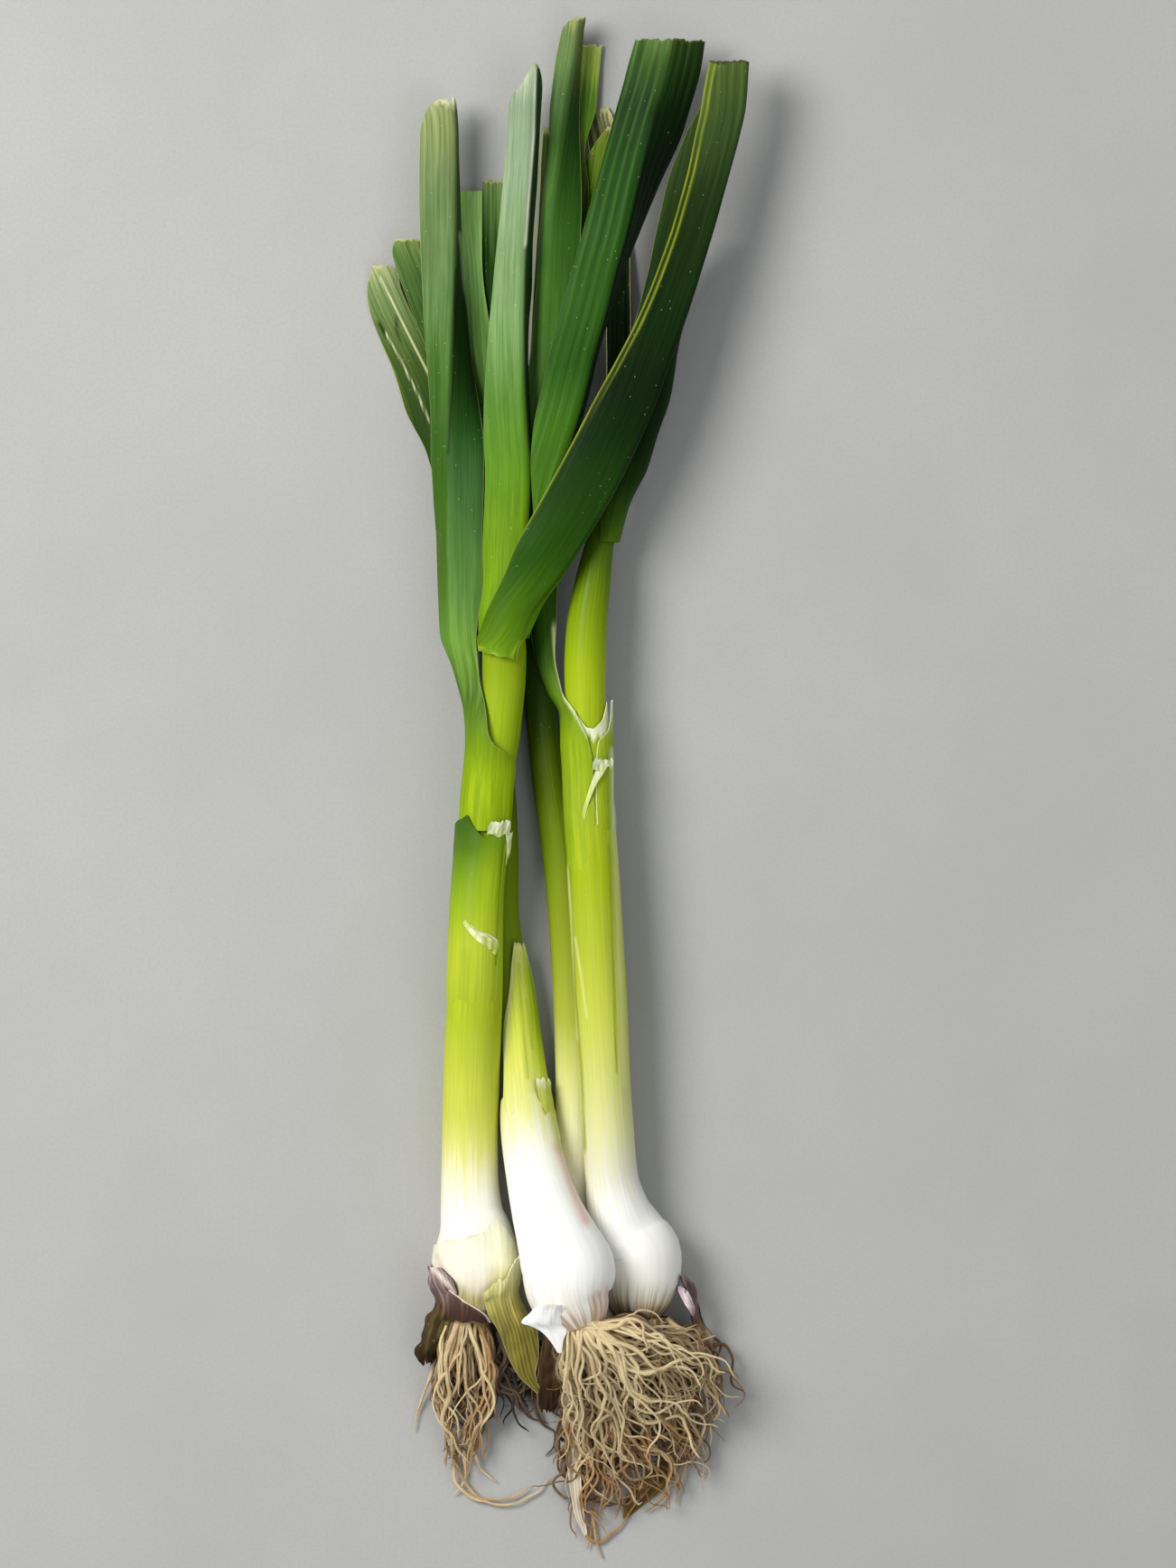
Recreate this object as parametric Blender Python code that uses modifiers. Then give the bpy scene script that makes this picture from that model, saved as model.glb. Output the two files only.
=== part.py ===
"""Bunch of four cut green garlic plants lying side by side on a table.

The plants are called a, b, c and d from left to right. Bulbs and roots point
to -Y, cut leaves to +Y, and the table is the plane Z = 0. All sizes below are
in millimetres; meshes are made in metres.
"""
import math
import random

import bmesh
import bpy
import numpy as np
from mathutils import Matrix

MM = 0.001

# Driving sizes, in millimetres.
LEAF_THICK = 0.8
KEEL_ARC = 2.4
BLADE_STEP = 24.0
SKIN_STEP = 9.0
PAPER_STEP = 12.6
STALK_STEP = 16.0
ROOT_THICK = 1.9
ROOT_TIP = 1.2
ROOT_SCATTER = 5.0
ROOT_SWAY = 1.6
ROOT_HUMP = 3.0

# Points across each half of a blade: in its keel arc, and on the rest of its width.
KEEL_POINTS = 2
FLAT_POINTS = 2
CURLED_POINTS = 3
WING_STEPS = 24

# Stalks have 2 * STALK_ROUND + 4 sides, turned so that a flat side lies below.
STALK_ROUND = 4
STALK_TURN = 15.0

# Roots: bends along each, waves in radians, how early they spread and drop,
# and the share of the root plate that they start from.
ROOT_BENDS = 5
ROOT_WAVES = 8.0
ROOT_SPREAD = 0.6
ROOT_DROP = 1.5
ROOT_PLATE_SHARE = 0.6
PLATE_SEGMENTS = 10
PLATE_RINGS = 6

COLLECTION = "green_garlic_bunch"

# Colour, roughness of each finish.
FINISHES = {
    "stalk_white_green": ((0.62, 0.70, 0.30), 0.35),
    "leaf_green": ((0.16, 0.30, 0.05), 0.40),
    "leaf_dark_green": ((0.04, 0.11, 0.02), 0.40),
    "leaf_yellow_green": ((0.42, 0.50, 0.06), 0.42),
    "sheath_white": ((0.85, 0.84, 0.74), 0.40),
    "skin_olive": ((0.40, 0.42, 0.14), 0.55),
    "skin_brown": ((0.20, 0.13, 0.08), 0.60),
    "root_straw": ((0.62, 0.47, 0.27), 0.70),
    "root_dark": ((0.10, 0.07, 0.05), 0.75),
}

# Stalks: centre x, y, z and radius along each plant, from the root plate up.
STALK_A = (
    (-29.1, -188.2, 13.0, 8.5), (-29.1, -183.7, 13.4, 11.4), (-29.1, -178.6, 13.8, 13.6),
    (-29.0, -173.1, 14.1, 15.2), (-29.0, -168.5, 14.3, 15.5), (-29.4, -163.5, 13.9, 14.8),
    (-29.9, -157.1, 13.4, 13.0), (-31.2, -149.1, 12.6, 11.0), (-31.8, -136.3, 11.8, 10.1),
    (-31.7, -120.3, 11.0, 9.9), (-31.3, -104.3, 11.5, 10.0), (-30.8, -88.3, 14.0, 10.0),
    (-29.9, -72.3, 17.0, 9.7), (-29.4, -56.3, 19.4, 9.4), (-28.9, -40.3, 19.9, 9.1),
    (-27.8, -27.5, 20.0, 8.9), (-26.9, -19.5, 20.2, 9.1), (-26.4, -17.0, 20.2, 7.6),
    (-25.1, -2.0, 20.5, 7.6), (-23.8, 7.7, 20.8, 7.8), (-21.8, 17.3, 21.0, 7.6),
    (-20.8, 26.9, 21.2, 7.7), (-19.7, 39.7, 21.4, 7.8), (-19.5, 48.6, 21.8, 7.8),
    (-19.5, 53.1, 22.0, 7.5), (-18.9, 62.1, 22.2, 6.5), (-18.6, 71.7, 22.3, 5.0),
    (-18.2, 84.5, 22.5, 2.5), (-18.1, 88.0, 22.5, 1.2),
)
STALK_B = (
    (8.6, -189.4, 34.0, 8.2), (7.0, -185.3, 33.8, 11.6), (5.0, -181.1, 33.5, 14.0),
    (3.8, -175.4, 33.1, 15.8), (3.5, -169.9, 32.6, 16.5), (1.6, -164.5, 31.8, 15.8),
    (-0.6, -158.7, 30.3, 14.4), (-4.2, -149.1, 25.8, 12.5), (-7.7, -136.3, 20.5, 11.0),
    (-10.7, -120.3, 15.0, 10.0), (-12.0, -109.5, 12.1, 8.7), (-12.4, -107.2, 11.5, 7.0),
    (-13.8, -88.3, 8.3, 6.0), (-15.7, -72.3, 6.9, 6.0), (-18.9, -56.3, 6.2, 6.1),
    (-20.5, -40.3, 5.9, 6.0), (-19.8, -24.3, 5.3, 5.4), (-20.2, -8.3, 5.1, 5.2),
    (-21.4, 7.7, 5.0, 5.1), (-22.7, 23.7, 4.8, 4.9), (-23.7, 36.5, 4.8, 4.6), (-25.0, 55.7, 5.0, 4.0),
    (-25.9, 74.9, 5.0, 3.2), (-26.6, 87.7, 5.0, 1.6),
)
STALK_C = (
    (28.6, -189.4, 12.2, 7.0), (28.4, -184.3, 12.3, 10.0), (28.6, -177.9, 12.8, 12.8),
    (29.1, -171.5, 13.2, 14.3), (29.1, -165.7, 13.4, 14.5), (25.3, -158.7, 13.4, 13.4),
    (21.1, -149.1, 15.3, 11.2), (18.6, -136.3, 16.4, 9.3), (17.4, -120.3, 18.0, 9.1),
    (16.2, -104.3, 19.0, 9.1), (14.7, -72.3, 19.7, 9.3), (12.8, -40.3, 19.8, 9.3),
    (10.9, -8.3, 19.5, 8.7), (10.7, -6.0, 19.4, 7.1), (10.4, 7.7, 19.3, 7.1),
    (10.0, 17.3, 19.2, 7.1), (9.6, 25.9, 19.1, 7.1), (9.3, 42.9, 19.0, 7.3),
    (9.8, 55.7, 18.8, 7.2), (11.8, 71.7, 17.8, 6.4), (14.7, 87.7, 16.3, 5.0),
    (18.6, 100.5, 14.8, 4.2), (21.4, 111.7, 13.5, 3.0), (22.7, 117.0, 13.0, 1.5),
)
STALK_D = (
    (10.0, -213.1, 11.0, 7.5), (10.0, -209.5, 11.4, 10.0), (10.0, -205.1, 11.8, 12.2),
    (9.9, -200.3, 12.0, 13.0), (9.4, -195.5, 11.8, 12.7), (8.3, -189.4, 11.2, 11.6),
    (7.0, -184.3, 10.2, 10.2), (5.4, -177.9, 8.8, 8.5), (4.3, -168.3, 7.6, 7.4),
    (4.5, -149.1, 7.0, 7.0), (4.8, -136.3, 6.7, 6.8), (5.1, -104.3, 6.4, 6.5),
    (4.5, -78.7, 6.4, 6.5), (2.7, -46.7, 6.4, 6.5), (0.3, -21.1, 6.4, 6.5),
    (-3.5, 4.5, 6.2, 6.3), (-5.1, 17.3, 6.0, 6.0), (-6.7, 31.7, 5.8, 5.8),
    (-8.0, 49.3, 5.3, 5.3), (-8.0, 71.7, 5.0, 4.6), (-7.0, 87.7, 4.8, 3.6),
    (-6.1, 100.5, 4.6, 2.0),
)


def clasp(cx, y, cz, radius, side, left, right):
    """Blade row that lies round a stalk, its keel at the angle side (0 right, 90 top)."""
    turn = math.radians(side)
    keel_x = cx + radius * math.cos(turn)
    keel_z = cz + radius * math.sin(turn)
    bend = -math.degrees(1.0 / radius)
    return (keel_x, y, keel_z, left, right, 90.0 - side, side - 90.0, bend)


# Blades: keel x, y, z; width left and right of the keel; slope of each half in
# degrees, up from level going outward; bend outward in degrees per millimetre.
LEAF_A_LEFT = (
    clasp(-26.0, -14.6, 20.3, 9.4, 180, 24.5, 26.0), clasp(-25.1, -2.0, 20.5, 9.5, 180, 24.0, 26.0),
    clasp(-23.8, 7.7, 20.8, 9.8, 180, 20.0, 25.5),
    (-32.9, 17.3, 21.0, 15.0, 15.0, -90, 90, -5.4), (-33.3, 26.9, 21.5, 12.0, 12.0, -88, 78, -5.0),
    (-35.5, 39.7, 22.5, 11.0, 8.0, -78, 30, -3.0), (-38.6, 55.7, 23.0, 9.5, 9.6, -70, 2, -0.5),
    (-39.0, 71.7, 23.0, 9.0, 12.0, -68, -5, -0.3), (-39.4, 87.7, 22.5, 9.5, 12.3, -68, -7, -0.2),
    (-39.4, 113.3, 21.5, 10.0, 13.0, -58, -9, -0.2), (-39.0, 135.7, 20.5, 10.5, 13.0, -52, -35, -0.2),
    (-38.4, 158.1, 19.5, 11.0, 13.0, -38, -62, -0.2), (-37.3, 183.7, 18.0, 12.0, 11.5, -18, -77, -0.2),
    (-36.9, 209.3, 17.0, 13.0, 10.8, -8, -86, -0.2), (-37.0, 231.7, 16.2, 12.6, 9.5, -5, -88, -0.2),
    (-37.6, 241.9, 16.0, 9.0, 7.5, -4, -88, -0.2), (-38.4, 245.4, 15.8, 3.2, 3.6, -4, -80, -0.2),
)
LEAF_A_CENTRE = (
    clasp(-19.5, 53.5, 22.0, 8.6, 50, 18.5, 5.0), (-12.2, 71.7, 28.3, 15.5, 5.0, 8, -55, -2.6),
    (-11.5, 87.7, 27.5, 16.0, 5.0, 2, -75, -1.6), (-10.6, 113.3, 26.0, 16.0, 6.0, -2, -80, -1.0),
    (-11.5, 126.1, 25.2, 15.5, 6.5, -3, -82, -0.8), (-12.6, 145.3, 24.0, 14.0, 8.0, -4, -82, -0.8),
    (-12.8, 164.5, 22.8, 12.2, 9.0, -5, -77, -0.8), (-12.5, 180.5, 21.7, 11.0, 9.0, -6, -74, -0.8),
    (-11.2, 206.1, 20.0, 9.8, 8.5, -8, -74, -0.8), (-9.4, 231.7, 18.5, 9.3, 8.0, -8, -74, -0.8),
    (-9.0, 242.9, 18.0, 9.0, 8.0, -8, -74, -0.8), (-8.6, 250.9, 17.6, 4.4, 6.0, -8, -72, -0.8),
    (-8.6, 257.3, 17.4, 0.6, 0.8, -8, -70, 0.0),
)
LEAF_A_RIBBED = (
    clasp(-19.5, 53.5, 22.0, 8.6, -28, 5.0, 6.0), (-6.9, 71.7, 19.5, 4.5, 3.0, 80, -95, -4.0),
    (-4.0, 87.7, 25.5, 5.0, 8.0, 15, -80, -1.0), (-2.5, 100.5, 28.0, 7.0, 9.0, -2, -85, -0.8),
    (2.9, 119.7, 28.5, 13.0, 9.0, -1, -85, -0.5), (7.7, 135.7, 28.3, 15.5, 11.0, -2, -85, -0.4),
    (11.5, 151.7, 28.0, 15.5, 13.0, -2, -85, -0.4), (16.3, 169.3, 27.5, 16.0, 14.0, -2, -83, -0.4),
    (19.8, 183.7, 27.0, 15.2, 14.5, -3, -78, -0.4), (23.4, 196.5, 26.5, 15.5, 14.5, -6, -71, -0.4),
    (27.8, 215.7, 26.0, 15.0, 14.5, -16, -56, -0.4), (33.0, 236.5, 25.2, 15.0, 14.5, -20, -33, -0.4),
    (37.4, 252.5, 24.6, 15.0, 14.5, -20, -33, -0.4), (40.3, 265.9, 24.0, 14.5, 14.5, -24, -37, -0.4),
)
LEAF_A_FRONT = (
    clasp(-19.5, 48.6, 21.8, 10.5, 66, 15.0, 1.0), clasp(-19.0, 55.7, 22.3, 10.6, 45, 19.0, 1.8),
    (-9.0, 62.1, 29.4, 18.6, 4.0, 41, -62, -4.4), (0.6, 74.9, 29.5, 21.5, 8.0, 30, -105, -2.6),
    (9.0, 87.7, 31.0, 24.5, 11.0, 18, -130, -1.4), (18.9, 104.3, 32.0, 25.0, 14.0, 12, -150, -0.9),
    (26.6, 119.7, 32.0, 24.3, 16.0, 10, -157, -0.8), (33.0, 134.1, 31.6, 23.2, 17.0, 9, -162, -0.7),
    (39.4, 151.7, 31.0, 20.0, 18.5, 8, -166, -0.6), (45.1, 167.7, 30.3, 17.7, 18.7, 10, -168, -0.6),
    (50.2, 183.7, 29.5, 16.6, 19.5, 15, -171, -0.6), (55.0, 199.7, 28.6, 16.3, 21.0, 20, -172, -0.6),
    (59.4, 215.7, 27.6, 16.2, 21.6, 20, -173, -0.6), (63.7, 231.7, 26.6, 17.0, 19.8, 18, -173, -0.6),
    (65.8, 241.9, 26.0, 16.8, 16.5, 15, -173, -0.6), (66.9, 257.9, 25.0, 14.8, 13.0, 12, -172, -0.6),
)
LEAF_B_OUTER = (
    clasp(-24.6, 49.3, 5.0, 5.7, 180, 4.5, 7.0), (-33.5, 74.9, 5.2, 6.0, 3.5, -35, 20, -1.0),
    (-35.2, 100.5, 6.0, 8.0, 6.0, -25, 5, -0.3), (-38.1, 119.7, 6.4, 9.8, 7.0, -22, -5, 0.0),
    (-41.9, 135.7, 6.3, 14.0, 7.0, -24, -3, 0.0), (-47.0, 148.5, 5.8, 12.8, 6.5, -24, -3, 0.0),
    (-52.5, 159.7, 5.3, 12.0, 5.5, -22, -2, 0.0), (-57.3, 169.3, 5.2, 10.8, 4.8, -24, 0, 0.0),
    (-61.1, 177.9, 4.6, 8.0, 4.8, -28, 0, 0.0), (-63.4, 183.7, 4.4, 4.2, 6.0, -35, 0, 0.0),
    (-65.0, 186.9, 4.2, 1.0, 2.5, -35, 0, 0.0),
)
LEAF_B_SECOND = (
    clasp(-24.6, 50.9, 5.0, 5.4, 58, 2.5, 4.0), (-27.5, 74.9, 9.6, 5.0, 4.0, -15, -15, 0.0),
    (-30.4, 100.5, 10.0, 6.0, 4.0, -12, -8, 0.0), (-33.6, 119.7, 10.6, 6.5, 5.0, -14, -6, 0.0),
    (-36.8, 135.7, 10.6, 7.0, 6.0, -14, -5, 0.0), (-42.9, 158.1, 9.8, 5.2, 8.0, -18, -4, 0.0),
    (-47.7, 170.9, 9.2, 5.2, 8.0, -20, -4, 0.0), (-52.5, 183.7, 8.6, 5.2, 7.0, -22, -4, 0.0),
    (-55.7, 190.7, 8.4, 3.9, 7.0, -24, -4, 0.0), (-57.0, 194.6, 8.3, 1.6, 8.0, -24, -4, 0.0),
    (-57.2, 196.0, 8.3, 0.5, 7.5, -24, -4, 0.0),
)
LEAF_B_FLAT = (
    clasp(-24.9, 58.9, 5.0, 5.3, -4, 2.2, 3.0), (-20.5, 81.3, 6.5, 4.0, 4.0, 50, -60, -1.0),
    (-22.4, 106.9, 7.6, 5.0, 5.0, 5, -15, 0.0), (-25.0, 126.1, 7.2, 5.3, 5.3, -4, -6, 0.0),
    (-28.2, 151.7, 5.8, 5.5, 5.5, -4, -6, 0.0), (-30.4, 183.7, 4.2, 5.5, 3.2, -3, -5, 0.0),
    (-31.7, 202.9, 3.4, 4.2, 4.3, -3, -5, 0.0), (-31.7, 213.1, 3.0, 4.2, 4.3, -3, -5, 0.0),
)
LEAF_B_INNER = (
    (-22.3, 84.5, 2.0, 2.4, 2.5, 0, 0, 0.0), (-23.4, 106.9, 2.6, 4.0, 4.0, 2, 4, 0.0),
    (-23.4, 151.7, 2.6, 4.2, 4.5, 4, 8, 0.0), (-23.2, 183.7, 2.0, 4.3, 4.5, 5, 8, 0.0),
    (-23.4, 202.9, 1.6, 4.0, 4.3, 6, 8, 0.0), (-23.4, 217.2, 1.4, 3.9, 4.0, 6, 8, 0.0),
)
LEAF_C_TALL = (
    clasp(10.4, -3.5, 19.4, 8.7, 180, 17.5, 15.6), clasp(10.2, 7.7, 19.3, 8.9, 180, 17.5, 15.9),
    clasp(9.9, 17.3, 19.2, 9.2, 180, 13.0, 15.0),
    (0.7, 25.9, 18.8, 8.0, 10.5, -85, 80, -5.0), (-3.2, 34.9, 18.0, 4.5, 5.5, -75, 45, -3.0),
    (-6.6, 46.1, 17.0, 4.0, 5.5, -68, 10, -1.5), (-7.4, 58.9, 15.8, 3.5, 6.5, -50, -2, 0.0),
    (-8.3, 74.9, 15.0, 4.0, 8.0, -50, -5, 0.0), (-8.6, 87.7, 14.5, 5.0, 10.0, -50, -5, 0.0),
    (-9.9, 119.7, 14.5, 6.0, 12.0, -55, -5, 0.0), (-8.5, 135.7, 14.8, 7.0, 13.0, -62, -5, 0.0),
    (-7.2, 151.7, 15.0, 8.0, 13.5, -70, -5, 0.0), (-6.1, 169.3, 15.0, 8.5, 13.5, -78, -6, 0.0),
    (-5.4, 183.7, 14.8, 8.5, 12.8, -80, -7, 0.0), (-3.8, 206.1, 14.5, 8.5, 12.0, -80, -12, 0.0),
    (-0.8, 226.9, 14.2, 8.5, 9.6, -77, -36, 0.0), (2.0, 244.5, 14.0, 9.5, 8.2, -65, -58, 0.0),
    (4.9, 260.5, 13.6, 9.6, 7.8, -58, -74, 0.0), (6.2, 270.7, 13.3, 8.6, 6.5, -60, -76, 0.0),
    (6.8, 274.5, 13.2, 0.8, 4.0, -60, -60, 0.0),
)
LEAF_C_UNDER = (
    clasp(14.7, 87.7, 16.3, 6.3, 12, 9.0, 7.0), clasp(18.6, 100.5, 14.8, 5.8, 20, 11.0, 7.0),
    (29.4, 113.3, 16.5, 13.0, 7.0, 15, -75, -2.0), (33.3, 126.1, 15.5, 14.0, 7.0, 0, -80, -0.5),
    (37.4, 138.9, 14.5, 14.0, 7.0, -3, -80, -0.2), (40.6, 158.1, 13.5, 13.0, 7.0, -4, -78, 0.0),
    (47.7, 183.7, 12.5, 10.0, 6.0, -4, -75, 0.0), (51.5, 198.1, 12.0, 4.0, 3.0, -4, -70, 0.0),
)
LEAF_C_HOLLOW = (
    (18.2, 105.3, 8.4, 4.0, 4.0, 0, 0, 0.0), (20.8, 126.1, 6.4, 5.0, 4.0, 10, 10, 0.0),
    (22.7, 151.7, 4.2, 6.0, 2.8, 12, 15, 0.0), (23.0, 169.3, 3.0, 6.5, 2.5, 14, 20, 0.0),
    (22.7, 186.9, 2.0, 7.0, 2.6, 16, 20, 0.0), (20.8, 202.9, 1.0, 7.0, 3.0, 18, 20, 0.0),
    (17.9, 222.1, 0.4, 7.0, 4.0, 20, 20, 0.0), (15.7, 234.9, 0.4, 6.7, 3.8, 22, 20, 0.0),
    (14.7, 239.0, 0.4, 3.2, 4.7, 22, 20, 0.0), (14.2, 243.2, 0.4, 0.8, 3.0, 22, 20, 0.0),
)
LEAF_D_LIME = (
    clasp(-8.0, 58.9, 5.3, 6.1, 30, 4.5, 4.0), (-4.2, 87.7, 9.4, 4.5, 4.0, 0, -40, -2.0),
    (-1.9, 119.7, 8.8, 5.0, 4.5, 5, -15, 0.0), (0.6, 151.7, 8.0, 5.2, 4.5, 5, -12, 0.0),
    (3.5, 183.7, 7.6, 5.4, 4.5, 4, -12, 0.0), (6.1, 209.3, 7.3, 5.2, 4.5, 2, -10, 0.0),
    (7.9, 228.5, 6.2, 5.0, 1.4, 0, -8, 0.0), (9.9, 242.9, 3.6, 5.0, 3.3, 0, -6, 0.0),
    (11.5, 260.5, 2.5, 5.0, 3.3, 0, -6, 0.0), (12.2, 265.3, 2.4, 3.5, 3.1, 0, -6, 0.0),
)
LEAF_D_YELLOW = (
    (-1.0, 97.3, 4.4, 2.0, 3.0, 0, 0, 0.0), (1.0, 119.7, 4.6, 4.5, 4.5, 5, 0, 0.0),
    (5.1, 151.7, 4.4, 5.0, 5.0, 4, 0, 0.0), (8.6, 183.7, 4.6, 5.5, 5.0, 4, 0, 0.0),
    (10.6, 196.5, 5.2, 5.5, 5.2, 2, 4, 0.0), (13.1, 209.3, 5.2, 6.0, 6.0, -3, 2, 0.0),
    (15.4, 222.1, 5.0, 6.5, 5.5, -6, 0, 0.0), (16.6, 230.1, 4.8, 3.5, 3.0, -5, 0, 0.0),
    (17.9, 235.8, 4.8, 0.5, 0.6, 0, 0, 0.0),
)
LEAF_D_STRIP = (
    (-9.3, 152.6, 2.2, 1.0, 1.0, 10, 8, 0.0), (-8.6, 158.1, 2.0, 1.8, 1.8, 10, 8, 0.0),
    (-7.0, 183.7, 2.0, 2.0, 2.0, 10, 8, 0.0), (-5.4, 202.9, 1.9, 2.2, 2.2, 10, 8, 0.0),
    (-4.5, 222.1, 1.8, 2.2, 2.2, 10, 8, 0.0), (-3.8, 236.3, 1.8, 2.0, 1.8, 10, 8, 0.0),
)

# Torn sheaths and dry skins, as short blades.
SHEATH_B_STUB = (
    clasp(-12.6, -105.5, 11.1, 8.5, 30, 8.0, 7.0), clasp(-13.8, -88.3, 8.4, 7.4, 30, 7.5, 6.0),
    clasp(-15.7, -72.3, 7.1, 7.3, 35, 5.5, 5.0), clasp(-17.7, -61.1, 6.6, 7.3, 42, 3.8, 3.4),
    clasp(-18.9, -54.7, 6.3, 7.4, 50, 1.0, 1.0),
)
SHEATH_A_LIP = (
    clasp(-26.2, -16.8, 20.3, 10.4, 62, 4.5, 4.5), clasp(-26.1, -13.2, 20.3, 11.4, 62, 4.5, 4.5),
    clasp(-26.0, -10.8, 20.3, 12.2, 62, 3.4, 3.4),
)
SHEATH_C_LIP = (
    clasp(10.3, 6.1, 19.3, 10.3, 60, 4.0, 4.2), clasp(10.2, 9.0, 19.3, 11.0, 60, 4.0, 4.2),
    clasp(10.2, 11.5, 19.3, 11.4, 60, 3.0, 3.4),
)
SHEATH_C_PEEL = (
    clasp(10.4, -3.5, 19.4, 8.7, 12, 9.3, 9.5), clasp(10.2, 7.7, 19.3, 8.9, 12, 9.3, 9.5),
    clasp(9.9, 16.5, 19.2, 9.0, 12, 8.4, 8.0), clasp(9.8, 21.5, 19.1, 9.1, 8, 4.0, 4.0),
    clasp(9.6, 31.7, 19.1, 9.4, 12, 1.0, 1.0),
)
SKIN_A_OLIVE = (
    clasp(-29.0, -174.0, 14.4, 16.5, 50, 9.0, 9.0), clasp(-29.0, -178.0, 14.6, 16.0, 48, 9.5, 8.5),
    (-17.0, -184.3, 24.5, 9.5, 8.0, 38, -40, -2.6), (-14.1, -192.3, 20.0, 7.5, 7.0, 25, -20, -1.5),
    (-12.5, -200.3, 15.5, 6.0, 5.5, 15, -15, -1.0), (-10.9, -207.4, 13.0, 4.0, 2.5, 10, -10, 0.0),
    (-6.7, -214.7, 12.0, 0.8, 0.8, 0, 0, 0.0),
)
SKIN_A_BROWN = (
    clasp(-29.0, -169.0, 14.4, 16.7, 160, 6.0, 7.0), clasp(-29.0, -174.7, 14.4, 16.4, 152, 7.0, 9.0),
    (-42.6, -181.1, 19.5, 6.0, 5.4, -60, 60, -5.0), (-44.0, -187.5, 16.5, 5.0, 5.4, -50, 30, -4.0),
    (-45.3, -194.6, 13.5, 4.5, 4.8, -45, 10, -3.0), (-47.4, -202.9, 10.5, 2.2, 2.2, -30, 0, 0.0),
)
SKIN_B_STAR = (
    clasp(4.3, -180.5, 33.6, 15.9, 118, 4.0, 5.0), (-4.2, -183.7, 45.7, 6.8, 5.0, -30, 15, -2.0),
    (-4.5, -187.5, 43.5, 9.6, 5.4, -22, 5, -1.0), (-2.9, -190.1, 41.5, 5.0, 5.5, -18, 0, 0.0),
    (-1.0, -193.9, 40.5, 2.6, 2.6, -15, 0, 0.0), (0.3, -198.7, 39.5, 0.6, 0.6, 0, 0, 0.0),
)
SKIN_C_SIDE = (
    clasp(29.1, -172.2, 13.2, 16.0, 12, 2.0, 3.0), (47.0, -176.3, 15.0, 3.0, 4.0, 60, -70, -4.0),
    (48.3, -181.1, 13.0, 5.0, 4.0, 50, -75, -4.0), (48.9, -186.4, 10.5, 2.4, 2.2, 40, -60, -2.0),
    (51.0, -190.4, 9.0, 2.4, 2.4, 40, -60, -2.0), (53.1, -194.9, 8.0, 3.0, 4.0, 40, -65, -4.0),
    (53.4, -200.3, 6.5, 2.0, 2.0, 40, -60, 0.0),
)
SKIN_D_PAPER = (
    (3.7, -214.5, 19.4, 3.0, 4.0, -10, 5, 0.0), (4.1, -222.0, 16.6, 4.2, 4.2, -10, 5, 0.0),
    (4.9, -232.0, 13.4, 4.2, 4.2, -10, 5, 0.0), (5.3, -240.0, 11.0, 4.0, 3.6, -10, 5, 0.0),
    (6.9, -256.6, 6.2, 2.9, 2.9, -10, 5, 0.0), (8.9, -264.0, 3.8, 1.4, 1.4, -5, 5, 0.0),
    (9.6, -266.5, 3.0, 0.6, 0.6, 0, 0, 0.0),
)
SKIN_D_OLIVE = (
    (41.0, -238.0, 0.5, 3.0, 3.0, 0, 0, 0.0), (37.0, -243.0, 0.5, 6.0, 5.0, 0, 0, 0.0),
    (32.0, -249.0, 0.5, 6.0, 5.0, 0, 0, 0.0), (27.0, -255.0, 0.5, 4.0, 3.0, 0, 0, 0.0),
    (23.0, -260.0, 0.5, 0.6, 0.6, 0, 0, 0.0),
)

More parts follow.
